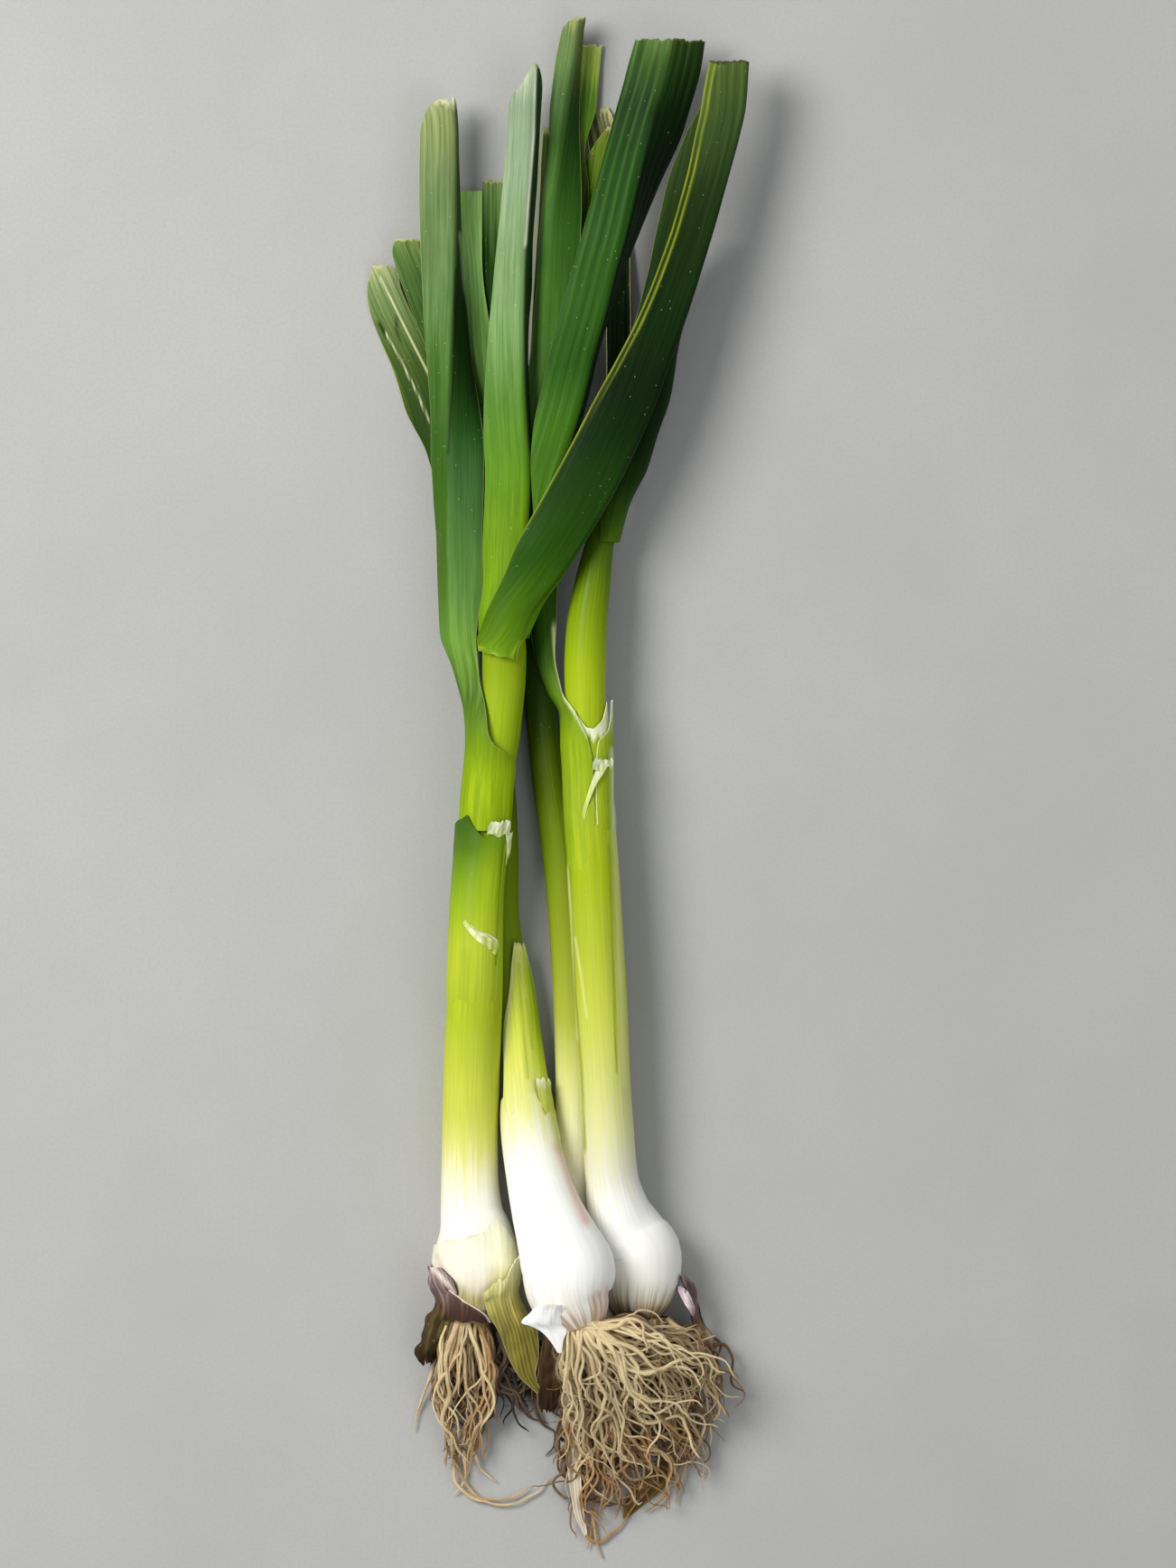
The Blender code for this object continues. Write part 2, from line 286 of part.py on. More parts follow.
BLADES = (
    ("a_leaf_left", LEAF_A_LEFT, BLADE_STEP, CURLED_POINTS, "leaf_green"),
    ("a_leaf_centre", LEAF_A_CENTRE, BLADE_STEP, CURLED_POINTS, "leaf_green"),
    ("a_leaf_ribbed", LEAF_A_RIBBED, BLADE_STEP, FLAT_POINTS, "leaf_green"),
    ("a_leaf_front", LEAF_A_FRONT, BLADE_STEP, CURLED_POINTS, "leaf_dark_green"),
    ("b_leaf_outer", LEAF_B_OUTER, BLADE_STEP, FLAT_POINTS, "leaf_yellow_green"),
    ("b_leaf_second", LEAF_B_SECOND, BLADE_STEP, FLAT_POINTS, "leaf_green"),
    ("b_leaf_flat", LEAF_B_FLAT, BLADE_STEP, FLAT_POINTS, "leaf_green"),
    ("b_leaf_inner", LEAF_B_INNER, BLADE_STEP, FLAT_POINTS, "leaf_green"),
    ("c_leaf_tall", LEAF_C_TALL, BLADE_STEP, CURLED_POINTS, "leaf_green"),
    ("c_leaf_under", LEAF_C_UNDER, BLADE_STEP, FLAT_POINTS, "leaf_dark_green"),
    ("c_leaf_hollow", LEAF_C_HOLLOW, BLADE_STEP, FLAT_POINTS, "leaf_dark_green"),
    ("d_leaf_lime", LEAF_D_LIME, BLADE_STEP, FLAT_POINTS, "leaf_yellow_green"),
    ("d_leaf_yellow", LEAF_D_YELLOW, BLADE_STEP, FLAT_POINTS, "leaf_yellow_green"),
    ("d_leaf_strip", LEAF_D_STRIP, BLADE_STEP, FLAT_POINTS, "leaf_green"),
    ("b_sheath_stub", SHEATH_B_STUB, SKIN_STEP, FLAT_POINTS, "leaf_yellow_green"),
    ("a_sheath_lip", SHEATH_A_LIP, SKIN_STEP, FLAT_POINTS, "sheath_white"),
    ("c_sheath_lip", SHEATH_C_LIP, SKIN_STEP, FLAT_POINTS, "sheath_white"),
    ("c_sheath_peel", SHEATH_C_PEEL, SKIN_STEP, FLAT_POINTS, "sheath_white"),
    ("a_skin_olive", SKIN_A_OLIVE, SKIN_STEP, FLAT_POINTS, "skin_olive"),
    ("a_skin_brown", SKIN_A_BROWN, SKIN_STEP, FLAT_POINTS, "skin_brown"),
    ("b_skin_star", SKIN_B_STAR, SKIN_STEP, FLAT_POINTS, "sheath_white"),
    ("c_skin_side", SKIN_C_SIDE, SKIN_STEP, FLAT_POINTS, "skin_brown"),
    ("d_skin_paper", SKIN_D_PAPER, PAPER_STEP, FLAT_POINTS, "sheath_white"),
    ("d_skin_olive", SKIN_D_OLIVE, SKIN_STEP, FLAT_POINTS, "skin_olive"),
)
STALKS = (("a_stalk", STALK_A), ("b_stalk", STALK_B), ("c_stalk", STALK_C), ("d_stalk", STALK_D))

# Root clusters: seed, count, centre and radii of the root plate, then the fan
# that the tips reach: x at its left and right, y at its left and right, height.
ROOTS = (
    ("a_roots_straw", 61, 11, (-33.6, -191.6, 10.5), (6.4, 3.2, 7.0),
     (-45.0, -24.0), (-234.0, -248.0), 1.2, "root_straw"),
    ("a_roots_dark", 12, 8, (-21.0, -191.4, 8.5), (4.9, 3.0, 6.0),
     (-21.0, -3.0), (-213.0, -226.0), 1.2, "root_dark"),
    ("b_roots", 13, 13, (10.5, -193.2, 34.0), (7.5, 3.2, 7.0),
     (7.0, 26.0), (-228.0, -236.0), 17.0, "root_straw"),
    ("c_roots", 14, 13, (30.8, -193.0, 11.5), (7.4, 3.2, 7.5),
     (26.0, 56.0), (-238.0, -226.0), 2.4, "root_straw"),
    ("d_roots", 15, 11, (11.0, -216.8, 10.0), (7.5, 3.2, 6.5),
     (12.0, 43.0), (-272.0, -248.0), 2.4, "root_straw"),
)


def hermite(stops, values, at):
    """Values at the places at, on a smooth curve with no overshoot through each stop."""
    gaps = np.diff(stops)
    rises = np.diff(values, axis=0) / gaps[:, None]
    slopes = np.zeros_like(values)
    before, after = rises[:-1], rises[1:]
    same_way = before * after > 0
    safe = np.where(same_way, before + after, 1.0)
    slopes[1:-1] = np.where(same_way, 2.0 * before * after / safe, 0.0)
    slopes[0], slopes[-1] = rises[0], rises[-1]
    index = np.clip(np.searchsorted(stops, at, side="right") - 1, 0, len(gaps) - 1)
    gap = gaps[index][:, None]
    share = ((at - stops[index]) / gaps[index])[:, None]
    start = (1 + 2 * share) * (1 - share) ** 2 * values[index]
    start = start + share * (1 - share) ** 2 * gap * slopes[index]
    end = share ** 2 * (3 - 2 * share) * values[index + 1]
    end = end + share ** 2 * (share - 1) * gap * slopes[index + 1]
    return start + end


def resample(rows, step):
    """Rows with smooth ones added, so that no two are more than step apart."""
    values = np.array(rows, dtype=float)
    lengths = np.linalg.norm(np.diff(values[:, :3], axis=0), axis=1)
    stops = np.concatenate([[0.0], np.cumsum(lengths)])
    places = [0.0]
    for start, length in zip(stops[:-1], lengths):
        count = max(1, math.ceil(length / step))
        places += [start + length * k / count for k in range(1, count + 1)]
    return hermite(stops, values, np.array(places))


def wing(width, slope, keel_slope, bend, points):
    """Offsets across one half of a blade, outward from the keel."""
    spread = np.linspace(0.0, 1.0, WING_STEPS + 1) * width
    middle = (spread[:-1] + spread[1:]) / 2.0
    reach = np.clip(middle / min(KEEL_ARC, width), 0.0, 1.0)
    angle = np.radians(keel_slope + (slope + bend * middle - keel_slope) * reach)
    out = np.concatenate([[0.0], np.cumsum(np.cos(angle) * width / WING_STEPS)])
    rise = np.concatenate([[0.0], np.cumsum(np.sin(angle) * width / WING_STEPS)])
    arc = min(KEEL_ARC, width * 0.5)
    picks = [arc * (k + 1) / KEEL_POINTS for k in range(KEEL_POINTS)]
    picks += [arc + (width - arc) * (k + 1) / points for k in range(points)]
    return [(np.interp(p, spread, out), np.interp(p, spread, rise)) for p in picks]


def section(row, points):
    """Points of one blade row from its left edge over the keel to its right edge."""
    x, y, z, left, right, left_slope, right_slope, bend = row
    keel = (right_slope - left_slope) / 2.0
    left_half = wing(left, left_slope, -keel, bend, points)
    right_half = wing(right, right_slope, keel, bend, points)
    line = [(x - out, y, z + rise) for out, rise in reversed(left_half)]
    line.append((x, y, z))
    line += [(x + out, y, z + rise) for out, rise in right_half]
    return line


def finish(name):
    """Material for one of the named finishes, made once."""
    known = bpy.data.materials.get(name)
    if known:
        return known
    colour, roughness = FINISHES[name]
    material = bpy.data.materials.new(name)
    material.use_nodes = True
    shader = material.node_tree.nodes["Principled BSDF"]
    shader.inputs["Base Color"].default_value = (*colour, 1.0)
    shader.inputs["Roughness"].default_value = roughness
    shader.inputs["Metallic"].default_value = 0.0
    return material


def add_plant(letter, rows, collection):
    """Empty at a plant's root plate, which all its pieces hang from."""
    anchor = bpy.data.objects.new("plant_" + letter, None)
    anchor.location = [c * MM for c in rows[0][:3]]
    collection.objects.link(anchor)


def add_object(name, mesh, material, collection):
    """Object for a mesh drawn in the bunch's frame, hung from its plant's empty."""
    anchor = bpy.data.objects["plant_" + name[0]]
    mesh.transform(Matrix.Translation(-anchor.location))
    item = bpy.data.objects.new(name, mesh)
    collection.objects.link(item)
    item.parent = anchor
    mesh.materials.clear()
    mesh.materials.append(finish(material))
    mesh.shade_smooth()
    return item


def blade(name, rows, step, points, material, collection):
    """A leaf or skin: an open sheet through its rows, given its thickness."""
    rings = [section(row, points) for row in resample(rows, step)]
    sheet = bmesh.new()
    grid = [[sheet.verts.new([c * MM for c in point]) for point in ring] for ring in rings]
    for near, far in zip(grid[:-1], grid[1:]):
        for k in range(len(near) - 1):
            sheet.faces.new((near[k], near[k + 1], far[k + 1]))
            sheet.faces.new((near[k], far[k + 1], far[k]))
    mesh = bpy.data.meshes.new(name)
    sheet.to_mesh(mesh)
    sheet.free()
    item = add_object(name, mesh, material, collection)
    thicken = item.modifiers.new("thickness", "SOLIDIFY")
    thicken.thickness = LEAF_THICK * MM
    thicken.offset = 0.0
    return item


def tube_mesh(name, rows, roundness, tilt):
    """A closed tube along rows of x, y, z and radius, as a mesh."""
    curve = bpy.data.curves.new(name + "_line", "CURVE")
    curve.dimensions = "3D"
    curve.twist_mode = "Z_UP"
    curve.bevel_depth = MM
    curve.bevel_resolution = roundness
    curve.use_fill_caps = True
    line = curve.splines.new("POLY")
    line.points.add(len(rows) - 1)
    for point, (x, y, z, radius) in zip(line.points, rows):
        point.co = (x * MM, y * MM, z * MM, 1.0)
        point.radius = radius
        point.tilt = math.radians(tilt)
    guide = bpy.data.objects.new(name + "_line", curve)
    bpy.context.scene.collection.objects.link(guide)
    bpy.context.view_layer.update()
    solid = guide.evaluated_get(bpy.context.evaluated_depsgraph_get())
    mesh = bpy.data.meshes.new_from_object(solid)
    bpy.data.objects.remove(guide)
    welded = bmesh.new()
    welded.from_mesh(mesh)
    bmesh.ops.remove_doubles(welded, verts=welded.verts, dist=1e-6)
    bmesh.ops.recalc_face_normals(welded, faces=welded.faces)
    welded.to_mesh(mesh)
    welded.free()
    mesh.name = name
    return mesh


def stalk(name, rows, collection):
    """Bulb and stem in one, with a small flat where it lies on the table."""
    mesh = tube_mesh(name, resample(rows, STALK_STEP), STALK_ROUND, STALK_TURN)
    for vertex in mesh.vertices:
        vertex.co.z = max(vertex.co.z, 0.0)
    return add_object(name, mesh, "stalk_white_green", collection)


def root_rows(draw, share, plate, radii, fan_x, fan_y, low):
    """One wavy root from its plate to its place in the fan."""
    start_x = plate[0] + (2.0 * share - 1.0) * radii[0] * ROOT_PLATE_SHARE
    start_z = plate[2] + draw.uniform(-1.0, 1.0) * radii[2] * ROOT_PLATE_SHARE
    tip_x = fan_x[0] + (fan_x[1] - fan_x[0]) * share
    tip_y = fan_y[0] + (fan_y[1] - fan_y[0]) * share + draw.uniform(-1.0, 1.0) * ROOT_SCATTER
    phase = draw.uniform(0.0, 2.0 * math.pi)
    hump = ROOT_HUMP * draw.random()
    rows = []
    for k in range(ROOT_BENDS + 1):
        t = k / ROOT_BENDS
        x = start_x + (tip_x - start_x) * t ** ROOT_SPREAD
        x += ROOT_SWAY * t * math.sin(phase + ROOT_WAVES * t)
        y = plate[1] + (tip_y - plate[1]) * t
        z = low + (start_z - low) * (1.0 - t) ** ROOT_DROP + hump * math.sin(math.pi * t)
        radius = (ROOT_THICK + (ROOT_TIP - ROOT_THICK) * t) / 2.0
        rows.append((x, y, max(z, radius), radius))
    return rows


def root_cluster(name, seed, count, place, radii, fan_x, fan_y, low, material, collection):
    """Root plate with its roots, joined in one body."""
    draw = random.Random(seed)
    plate = bmesh.new()
    bmesh.ops.create_uvsphere(plate, u_segments=PLATE_SEGMENTS, v_segments=PLATE_RINGS, radius=MM)
    bmesh.ops.scale(plate, vec=radii, verts=plate.verts)
    bmesh.ops.translate(plate, vec=[c * MM for c in place], verts=plate.verts)
    mesh = bpy.data.meshes.new(name)
    plate.to_mesh(mesh)
    plate.free()
    item = add_object(name, mesh, material, collection)
    strands = bpy.data.collections.new(name + "_strands")
    bpy.context.scene.collection.children.link(strands)
    for k in range(count):
        rows = root_rows(draw, (k + 0.5) / count, place, radii, fan_x, fan_y, low)
        strand = bpy.data.objects.new(f"{name}_{k}", tube_mesh(f"{name}_{k}", rows, 0, 0.0))
        strands.objects.link(strand)
    join = item.modifiers.new("roots", "BOOLEAN")
    join.operation = "UNION"
    # The exact solver leaves loose shells where several roots cross.
    join.solver = "MANIFOLD"
    join.operand_type = "COLLECTION"
    join.collection = strands
    bpy.context.view_layer.update()
    joined = bpy.data.meshes.new_from_object(item.evaluated_get(bpy.context.evaluated_depsgraph_get()))
    item.modifiers.clear()
    item.data = joined
    joined.name = name
    for strand in list(strands.objects):
        bpy.data.objects.remove(strand)
    bpy.data.collections.remove(strands)
    return item


def main():
    for item in list(bpy.data.objects):
        bpy.data.objects.remove(item)
    collection = bpy.data.collections.new(COLLECTION)
    bpy.context.scene.collection.children.link(collection)
    for name, rows in STALKS:
        add_plant(name[0], rows, collection)
        stalk(name, rows, collection)
    for name, rows, step, points, material in BLADES:
        blade(name, rows, step, points, material, collection)
    for name, seed, count, place, radii, fan_x, fan_y, low, material in ROOTS:
        root_cluster(name, seed, count, place, radii, fan_x, fan_y, low, material, collection)


main()
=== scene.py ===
"""Looks of a bunch of four cut green garlic plants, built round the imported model.

The plants a, b, c and d lie side by side on a table, bulbs and roots to -Y and cut leaves
to +Y. Shapes are worked out in millimetres and turned to metres when a mesh is made.
"""
import math
import random

import bpy
import numpy as np
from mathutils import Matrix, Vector
from bpy.props import FloatProperty, FloatVectorProperty, IntProperty, PointerProperty


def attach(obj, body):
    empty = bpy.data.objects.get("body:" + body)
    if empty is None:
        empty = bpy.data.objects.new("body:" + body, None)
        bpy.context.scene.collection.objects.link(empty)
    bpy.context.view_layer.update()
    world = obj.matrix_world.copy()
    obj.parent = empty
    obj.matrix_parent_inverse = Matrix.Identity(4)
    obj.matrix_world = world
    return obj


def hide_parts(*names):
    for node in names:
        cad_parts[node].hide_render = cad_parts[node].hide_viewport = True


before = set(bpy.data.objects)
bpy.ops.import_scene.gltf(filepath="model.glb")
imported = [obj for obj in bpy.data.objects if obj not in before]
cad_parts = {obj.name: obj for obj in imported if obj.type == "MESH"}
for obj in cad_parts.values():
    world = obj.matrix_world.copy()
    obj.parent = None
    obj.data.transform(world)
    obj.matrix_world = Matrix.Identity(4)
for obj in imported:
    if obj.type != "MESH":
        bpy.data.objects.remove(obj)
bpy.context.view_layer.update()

bl_info = {
    "name": "Green garlic bunch",
    "version": (1, 0, 0),
    "blender": (4, 5, 0),
    "location": "3D Viewport > Sidebar > Garlic",
    "description": "Builds the leaves, stalks, skins and roots of a bunch of green garlic",
    "category": "Add Mesh",
}

MM = 0.001
TINY = 1e-9

# How the photograph was taken: its frame and the width of one of its pixels on the table.
IMAGE_WIDTH, IMAGE_HEIGHT = 1302, 1736
PIXEL_MM = 0.32
MIDDLE_COLUMN, MIDDLE_ROW = 619.0, 874.0


def tint(red, green, blue):
    """Colour from the 0 to 255 values that a screen shows, by the usual curve of screens."""
    def level(value):
        share = value / 255.0
        return share / 12.92 if share <= 0.04045 else ((share + 0.055) / 1.055) ** 2.4
    return level(red), level(green), level(blue)


def colour_property(label, about, value):
    return FloatVectorProperty(name=label, description=about, default=tint(*value), subtype="COLOR",
                               size=3, min=0.0, max=1.0)


class GarlicSizes(bpy.types.PropertyGroup):
    """Sizes that a user may change."""
    leaf_thickness: FloatProperty(
        name="Leaf thickness", description="Thickness of a leaf near its keel",
        default=0.00075, min=0.0003, max=0.0015, precision=5, unit="LENGTH")
    skin_thickness: FloatProperty(
        name="Skin thickness", description="Thickness of the papery skins and torn sheaths",
        default=0.0004, min=0.0002, max=0.001, precision=5, unit="LENGTH")
    root_thickness: FloatProperty(
        name="Root thickness", description="Thickness of a stout root where it leaves the bulb",
        default=0.0018, min=0.0006, max=0.003, precision=5, unit="LENGTH")
    root_density: FloatProperty(
        name="Root density", description="How many roots each plant has, as a share of the usual number",
        default=1.0, min=0.2, max=2.0, subtype="FACTOR")
    stalk_sides: IntProperty(
        name="Stalk sides", description="Points round a stalk", default=84, min=24, max=160)
    camera_height: FloatProperty(
        name="Camera height", description="Height of the camera above the table",
        default=3.6, min=0.8, max=10.0, unit="LENGTH")


class GarlicColours(bpy.types.PropertyGroup):
    """Colours that a user may change."""
    vein_green: colour_property("Vein green", "Dark lines between a leaf's ribs", (18, 50, 12))
    margin_pale: colour_property("Pale margin", "Thin line along a leaf's edge", (214, 222, 128))
    dry_tip: colour_property("Dry tip", "Withered tissue at a cut end", (182, 184, 126))
    blush: colour_property("Blush", "Red tinge on a white sheath", (196, 120, 100))
    # Painted shade: the colour that roots deep in a tuft darken to.
    deep_root_shade: colour_property("Dark husk", "Shaded folds and the roots deep in a tuft", (42, 20, 8))
    straw: colour_property("Straw root", "Sunlit roots", (255, 234, 184))
    # Colour of roots of low tone; their tone is lowered in part by painted shade deep in the tuft, in part at
    # random.
    straw_deep: colour_property("Deep straw", "Roots deep in a tuft", (190, 142, 86))
    floor: colour_property("Floor", "Plain pale floor", (180, 180, 177))


def sizes():
    """The sizes that a user may change."""
    return bpy.context.scene.garlic_sizes


def colours():
    """The colours that a user may change."""
    return bpy.context.scene.garlic_colours


# Rows of the stalks, in millimetres: centre x, y, z and radius.
STALK_A = (
    (-29.1, -188.2, 13, 8.5), (-29.1, -183.7, 13.4, 11.4), (-29.1, -178.6, 13.8, 13.6),
    (-29, -173.1, 14.1, 15.2), (-29, -168.5, 14.3, 15.5), (-29.4, -163.5, 13.9, 14.8),
    (-29.9, -157.1, 13.4, 13), (-31.2, -149.1, 12.6, 11), (-31.8, -136.3, 11.8, 10.1),
    (-31.7, -120.3, 11, 9.9), (-31.3, -104.3, 11.5, 10), (-30.8, -88.3, 14, 10), (-29.9, -72.3, 17, 9.7),
    (-29.4, -56.3, 19.4, 9.4), (-28.9, -40.3, 19.9, 9.1), (-27.8, -27.5, 20, 8.9), (-26.9, -19.5, 20.2, 9.1),
    (-26.4, -17, 20.2, 7.6), (-25.1, -2, 20.5, 7.6), (-23.8, 7.7, 20.8, 7.8), (-21.8, 17.3, 21, 7.6),
    (-20.8, 26.9, 21.2, 7.7), (-19.7, 39.7, 21.4, 7.8), (-19.5, 48.6, 21.8, 7.8), (-19.5, 53.1, 22, 7.5),
    (-18.9, 62.1, 22.2, 6.5), (-18.6, 71.7, 22.3, 5), (-18.2, 84.5, 22.5, 2.5), (-18.1, 88, 22.5, 1.2),
)
STALK_B = (
    (8.6, -189.4, 34, 8.2), (7, -185.3, 33.8, 11.6), (5, -181.1, 33.5, 14), (3.8, -175.4, 33.1, 15.8),
    (3.5, -169.9, 32.6, 16.5), (1.6, -164.5, 31.8, 15.8), (-0.6, -158.7, 30.3, 14.4),
    (-4.2, -149.1, 25.8, 12.5), (-7.7, -136.3, 20.5, 11), (-10.7, -120.3, 15, 10), (-12, -109.5, 12.1, 8.7),
    (-12.4, -107.2, 11.5, 7), (-13.8, -88.3, 8.3, 6), (-15.7, -72.3, 6.9, 6), (-18.9, -56.3, 6.2, 6.1),
    (-20.5, -40.3, 5.9, 6), (-19.8, -24.3, 5.3, 5.4), (-20.2, -8.3, 5.1, 5.2), (-21.4, 7.7, 5, 5.1),
    (-22.7, 23.7, 4.8, 4.9), (-23.7, 36.5, 4.8, 4.6), (-25, 55.7, 5, 4), (-25.9, 74.9, 5, 3.2),
    (-26.6, 87.7, 5, 1.6),
)
STALK_C = (
    (28.6, -189.4, 12.2, 7), (28.4, -184.3, 12.3, 10), (28.6, -177.9, 12.8, 12.8),
    (29.1, -171.5, 13.2, 14.3), (29.1, -165.7, 13.4, 14.5), (25.3, -158.7, 13.4, 13.4),
    (21.1, -149.1, 15.3, 11.2), (18.6, -136.3, 16.4, 9.3), (17.4, -120.3, 18, 9.1), (16.2, -104.3, 19, 9.1),
    (14.7, -72.3, 19.7, 9.3), (12.8, -40.3, 19.8, 9.3), (10.9, -8.3, 19.5, 8.7), (10.7, -6, 19.4, 7.1),
    (10.4, 7.7, 19.3, 7.1), (10, 17.3, 19.2, 7.1), (9.6, 25.9, 19.1, 7.1), (9.3, 42.9, 19, 7.3),
    (9.8, 55.7, 18.8, 7.2), (11.8, 71.7, 17.8, 6.4), (14.7, 87.7, 16.3, 5), (18.6, 100.5, 14.8, 4.2),
    (21.4, 111.7, 13.5, 3), (22.7, 117, 13, 1.5),
)
STALK_D = (
    (10, -213.1, 11, 7.5), (10, -209.5, 11.4, 10), (10, -205.1, 11.8, 12.2), (9.9, -200.3, 12, 13),
    (9.4, -195.5, 11.8, 12.7), (8.3, -189.4, 11.2, 11.6), (7, -184.3, 10.2, 10.2), (5.4, -177.9, 8.8, 8.5),
    (4.3, -168.3, 7.6, 7.4), (4.5, -149.1, 7, 7), (4.8, -136.3, 6.7, 6.8), (5.1, -104.3, 6.4, 6.5),
    (4.5, -78.7, 6.4, 6.5), (2.7, -46.7, 6.4, 6.5), (0.3, -21.1, 6.4, 6.5), (-3.5, 4.5, 6.2, 6.3),
    (-5.1, 17.3, 6, 6), (-6.7, 31.7, 5.8, 5.8), (-8, 49.3, 5.3, 5.3), (-8, 71.7, 5, 4.6),
    (-7, 87.7, 4.8, 3.6), (-6.1, 100.5, 4.6, 2),
)


def clasp(cx, y, cz, radius, side, left, right):
    """Blade row that lies round a stalk, its keel at the angle side (0 right, 90 top)."""
    turn = math.radians(side)
    keel_x = cx + radius * math.cos(turn)
    keel_z = cz + radius * math.sin(turn)
    bend = -math.degrees(1.0 / radius)
    return (keel_x, y, keel_z, left, right, 90.0 - side, side - 90.0, bend)


def narrower(rows, share):
    """Blade rows whose width on each side of the keel is a share of what they say."""
    return [(x, y, z, share * left, share * right, *rest) for x, y, z, left, right, *rest in rows]


# Shapes, in millimetres. Steps between rows: of blades, of skins round a stalk, and of stalks.
FINE_STEP = 2.2
WRAP_STEP = 1.2
STALK_STEP = 1.6
# Half the width of the rounded keel of a blade.
KEEL_ARC = 2.4
SEAM_ANGLE = math.radians(50.0)
RIPPLE_WAVES = 7
RIPPLE_PACE = (1.4, 4.6)
# Broad and fine notches of a torn end, and how many fine ones there are to a broad one.
BROAD_NOTCH, FINE_NOTCH = 0.35, 0.25
NOTCH_RATIO = 2.7
# Ribs wander by RIB_DRIFT over these lengths along and across, and have finer ones between them.
RIB_DRIFT = 0.6
DRIFT_ALONG, DRIFT_ACROSS = 70.0, 9.0
FINE_RIB_DEPTH, FINE_RIB_SPACING = 0.35, 0.41
WAVER_LENGTH, WAVER_REACH = 16.0, 6.0
# Wrinkles are longer than wide, and have finer ones on them.
WRINKLE_STRETCH = 2.2
FINE_WRINKLE = 0.4
# A sheet thins to EDGE_SHARE over EDGE_REACH at its edge, and lies TABLE_GAP off the table.
EDGE_SHARE, EDGE_REACH = 0.4, 2.5
TABLE_GAP = 0.05
LEAST_THICKNESS = 0.12
# Waves round a stalk and their depths. Past FINE_WAVES they are ribs, deeper near the base.
STALK_WAVES = ((3, 0.1), (5, 0.07), (9, 0.02), (17, 0.015), (29, 0.025))
FINE_WAVES = 16
BASE_RIBS, BASE_REACH = 0.07, 15.0
# Waves sway over SWAY_LENGTH, and fade where a stalk is thinner than FULL_RADIUS.
SWAY_LENGTH, FULL_RADIUS = 60.0, 6.0
# Radius of the grain round a stalk, and how far below its middle paint reaches.
GRAIN_RADIUS, PAINT_DROP = 10.0, 2.0
# A mark's value where a stalk has no edge or cut end near.
FAR_OFF = 50.0
# Marks that lines are painted in.
PAINTED = ("pale", "dark", "stain")


def hermite(stops, values, at):
    """Values at the places at, on a smooth curve with no overshoot through each stop."""
    gaps = np.diff(stops)
    rises = np.diff(values, axis=0) / gaps[:, None]
    slopes = np.zeros_like(values)
    before, after = rises[:-1], rises[1:]
    same_way = before * after > 0
    safe = np.where(same_way, before + after, 1.0)
    slopes[1:-1] = np.where(same_way, 2.0 * before * after / safe, 0.0)
    slopes[0], slopes[-1] = rises[0], rises[-1]
    index = np.clip(np.searchsorted(stops, at, side="right") - 1, 0, len(gaps) - 1)
    gap = gaps[index][:, None]
    share = ((at - stops[index]) / gaps[index])[:, None]
    start = (1 + 2 * share) * (1 - share) ** 2 * values[index]
    start = start + share * (1 - share) ** 2 * gap * slopes[index]
    end = share ** 2 * (3 - 2 * share) * values[index + 1]
    end = end + share ** 2 * (share - 1) * gap * slopes[index + 1]
    return start + end


def resample(rows, step):
    """Rows with smooth ones added, so that no two are more than step apart."""
    values = np.array(rows, dtype=float)
    lengths = np.linalg.norm(np.diff(values[:, :3], axis=0), axis=1)
    stops = np.concatenate([[0.0], np.cumsum(lengths)])
    places = [0.0]
    for start, length in zip(stops[:-1], lengths):
        count = max(1, math.ceil(length / step))
        places += [start + length * k / count for k in range(1, count + 1)]
    return hermite(stops, values, np.array(places))


def run_along(points):
    """Distance along a path, or along each column of a grid, to each of its points."""
    steps = np.linalg.norm(np.diff(points, axis=0), axis=-1)
    return np.concatenate([np.zeros_like(steps[:1]), np.cumsum(steps, axis=0)])


def smooth(value):
    """0 to 1 with soft ends."""
    value = np.clip(value, 0.0, 1.0)
    return value * value * (3.0 - 2.0 * value)


def ripple(seed, first, second=0.0):
    """Smooth wandering value, mostly from -1 to 1, with bumps about one unit apart."""
    draw = random.Random(seed)
    total = 0.0
    for _ in range(RIPPLE_WAVES):
        turn = draw.uniform(0.0, math.tau)
        pace = draw.uniform(*RIPPLE_PACE)
        start = draw.uniform(0.0, math.tau)
        total = total + np.sin(pace * (first * math.cos(turn) + second * math.sin(turn)) + start)
    return total / math.sqrt(RIPPLE_WAVES)


def wing(width, slope, keel_slope, bend, columns):
    """How far each point of one half of a blade lies along it, out and up from the keel."""
    spread = width[:, None] * np.linspace(0.0, 1.0, columns + 1)
    middle = (spread[:, :-1] + spread[:, 1:]) / 2.0
    reach = np.clip(middle / np.minimum(KEEL_ARC, width)[:, None], 0.0, 1.0)
    leaning = slope[:, None] + bend[:, None] * middle - keel_slope[:, None]
    angle = np.radians(keel_slope[:, None] + leaning * reach)
    pace = (width / columns)[:, None]
    none = np.zeros((len(width), 1))
    out = np.concatenate([none, np.cumsum(np.cos(angle) * pace, axis=1)], axis=1)
    rise = np.concatenate([none, np.cumsum(np.sin(angle) * pace, axis=1)], axis=1)
    return spread, out, rise


